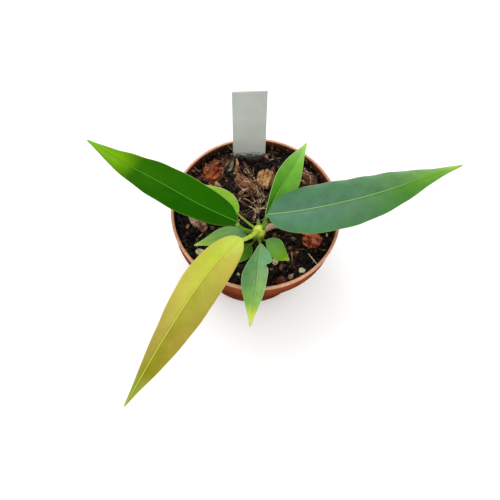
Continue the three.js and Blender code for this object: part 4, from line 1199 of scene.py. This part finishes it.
make_leaf(
    "small_right_leaf", "leaf_small_right", "leaf_mid",
    rib=[(6.5, -15, 54.6), (11.3, -20.1, 57), (17.3, -24, 54.6)],
    outline=[
        (0, 0.5, 0.5), (0.07, 2.2, 1.4), (0.2, 3.8, 2.6), (0.4, 4.2, 4), (0.62, 3.4, 4.7),
        (0.8, 2.1, 3.3), (0.93, 0.9, 1.2), (1, 0.3, 0.3),
    ],
    droop=(-4, -4, 10, 10), petiole=0.55, joins=48.6,
    upper=(SMALL_RIGHT, SMALL_RIGHT, "7fb050", ("b4d494", "8fbc4c"), ("4f8a34", 0.3)),
    lower=("77a45c", "90b874"), stalk=("5f9236", "88b44c"), grid=(40, 18), wave=0.2,
    specular=0.12,
)
SMALL_LEFT = [(0, "6a9e70"), (1, "cce85e"), (0.45, "90c26c"), (0.8, "a0c654")]
make_leaf(
    "small_left_leaf", "leaf_small_left", "leaf_blue",
    rib=[(-3.1, -15.3, 57), (-10.1, -16.8, 59.6), (-18.2, -20.8, 59.8), (-25.9, -23.1, 57)],
    outline=[
        (0, 0.5, 0.5), (0.07, 1.6, 2), (0.2, 3.2, 3.8), (0.4, 4, 4.3), (0.65, 2.9, 3.2),
        (0.85, 1.2, 1.4), (1, 0.3, 0.3),
    ],
    droop=(4, 0, 10, 10), petiole=0.65, joins=49.6,
    upper=(SMALL_LEFT, SMALL_LEFT, "86ae66", ("a5cc86", "a5cc86"), ("5c8a54", 0.25)),
    lower=("76a06c", "90b682"), stalk=("55883c", "80ac50"), grid=(44, 18), wave=0.2,
    specular=0.2,
)
# The under-left leaf is painted a bright yellow-green: painted light, for light shining through it.
UNDER_LEFT = [(0, "86b430"), (1, "a3cc48"), (0.5, "88b834")]
make_leaf(
    "under_left_leaf", "leaf_under_left", "leaf_mid",
    rib=[(-7.9, -6.6, 62.4), (-13.9, -3.5, 64.6), (-22.6, 0.6, 64.8), (-31.7, 6, 62)],
    outline=[
        (0, 0.5, 0.5), (0.06, 1.7, 2.6), (0.18, 3.9, 4.6), (0.36, 4.8, 5.3), (0.58, 3.8, 4),
        (0.8, 2, 2.2), (1, 0.3, 0.3),
    ],
    droop=(0, 0, 8, 8), petiole=0.55, joins=54,
    upper=(UNDER_LEFT, UNDER_LEFT, "a9c862", ("bcd880", "c4dc8c"), ("7aa828", 0.3)),
    lower=("8fb25a", "a8c674"), stalk=("6f9a2c", "a6c44a"), grid=(44, 18), wave=0.2,
    specular=0.12,
)
UNDER_NEW = [(0, "427412"), (1, "7fae3c"), (0.5, "487c10")]
make_leaf(
    "under_new_leaf", "leaf_under_new", "leaf_mid",
    rib=[(-1.1, -17.6, 53.6), (-4, -23.2, 55.2), (-8.6, -28.6, 53.6)],
    outline=[
        (0, 0.5, 0.5), (0.07, 1.6, 1.4), (0.2, 3, 2.6), (0.4, 4, 3.4), (0.65, 3, 2.6),
        (0.85, 1.4, 1.2), (1, 0.3, 0.3),
    ],
    droop=(4, 4, 10, 10), petiole=0.55, joins=47.6,
    upper=(UNDER_NEW, UNDER_NEW, "5a8c34", ("90b866", "80ac50"), ("326010", 0.3)),
    lower=("6a9850", "84ae68"), stalk=("4f8030", "78a644"), grid=(36, 16), wave=0.15,
    specular=0.12,
)

# Label
# A plain stick of stiff pale plastic, cut from sheet, pushed into the mix at the back. Its face is
# bare, and its foot is smeared with peat.
LABEL_FOOT = (-6.5, 33.4, 46)
LABEL_YAW, LABEL_LEAN, LABEL_TILT = 8.6, -6.8, -1.8     # degrees
LABEL_BEVEL = 0.22
LABEL_WIDTH, LABEL_LENGTH, LABEL_THICK, LABEL_POINT, LABEL_BURIED = 16, 66, 0.8, 14, 20
bpy.ops.object.select_all(action="DESELECT")
middle = (0, 0, (LABEL_LENGTH / 2 - LABEL_BURIED) * MM)
bpy.ops.mesh.primitive_cube_add(size=MM, location=middle, scale=(LABEL_WIDTH, LABEL_THICK, LABEL_LENGTH))
label = bpy.context.object
bpy.ops.object.transform_apply(location=True, scale=True)
bpy.ops.object.mode_set(mode="EDIT")
bpy.ops.mesh.bisect(plane_co=(0, 0, (LABEL_POINT - LABEL_BURIED) * MM), plane_no=(0, 0, 1))
bpy.ops.object.mode_set(mode="OBJECT")
for vertex in label.data.vertices:
    if vertex.co.z < (1 - LABEL_BURIED) * MM:
        vertex.co.x *= 0.15
rounding = {"width": LABEL_BEVEL * MM, "segments": 3, "limit_method": "ANGLE", "angle_limit": radians(20)}
apply_modifier(label, "BEVEL", **rounding)
label.matrix_world = (
    Matrix.Translation(Vector(LABEL_FOOT) * MM) @ Matrix.Rotation(radians(LABEL_YAW), 4, "Z")
    @ Matrix.Rotation(radians(LABEL_LEAN), 4, "X") @ Matrix.Rotation(radians(LABEL_TILT), 4, "Y")
)
only(label)
bpy.ops.object.transform_apply(location=True, rotation=True, scale=True)
bpy.ops.object.shade_smooth_by_angle(angle=radians(30))

# Sheet polystyrene is smooth and slightly shiny. It is painted darker towards its top, as painted
# shade. Peat clings to its foot.
card = new_material("sheet polystyrene label", 0.35, ior=1.59, specular=0.4)
add = partial(add_node, card)
place = add("TexCoord").outputs["Object"]
part = add("SeparateXYZ", [place])
clouds = add("TexNoise", {"Vector": place, "Scale": 1 / (9 * MM), "Detail": 2.0})
pale = add("ValToRGB", [clouds], stops=[(0.3, "ced4cd"), (0.7, "d8ddd6")])
# Painted shade: the colour darkens from the foot to the top.
height = add("MapRange", [part.outputs[2], 50 * MM, 92 * MM, 1.08, 0.74])
pale = add("Mix", {0: 1.0, 6: pale, 7: height}, data_type="RGBA", blend_type="MULTIPLY")
smears = add("TexNoise", {"Vector": place, "Scale": 1 / (1.3 * MM), "Detail": 6.0, "Roughness": 0.65})
low = add("MapRange", [part.outputs[2], 44 * MM, 55 * MM, 1.0, 0.0])
smear = add("Math", [low, smears], operation="MULTIPLY")
smear = add("MapRange", [smear, 0.2, 0.34, 0.0, 0.9])
card_colour = add("Mix", {0: smear, 6: pale.outputs[2], 7: "2a211a"}, data_type="RGBA")
rubs = add("MapRange", [smears, 0.3, 0.7, 0.3, 0.5])
finish_shader(card, card_colour.outputs[2], smears, 0.02 * MM, {"Roughness": rubs})
dress(label, "plant_label", [card], ["label"], smooth=False)
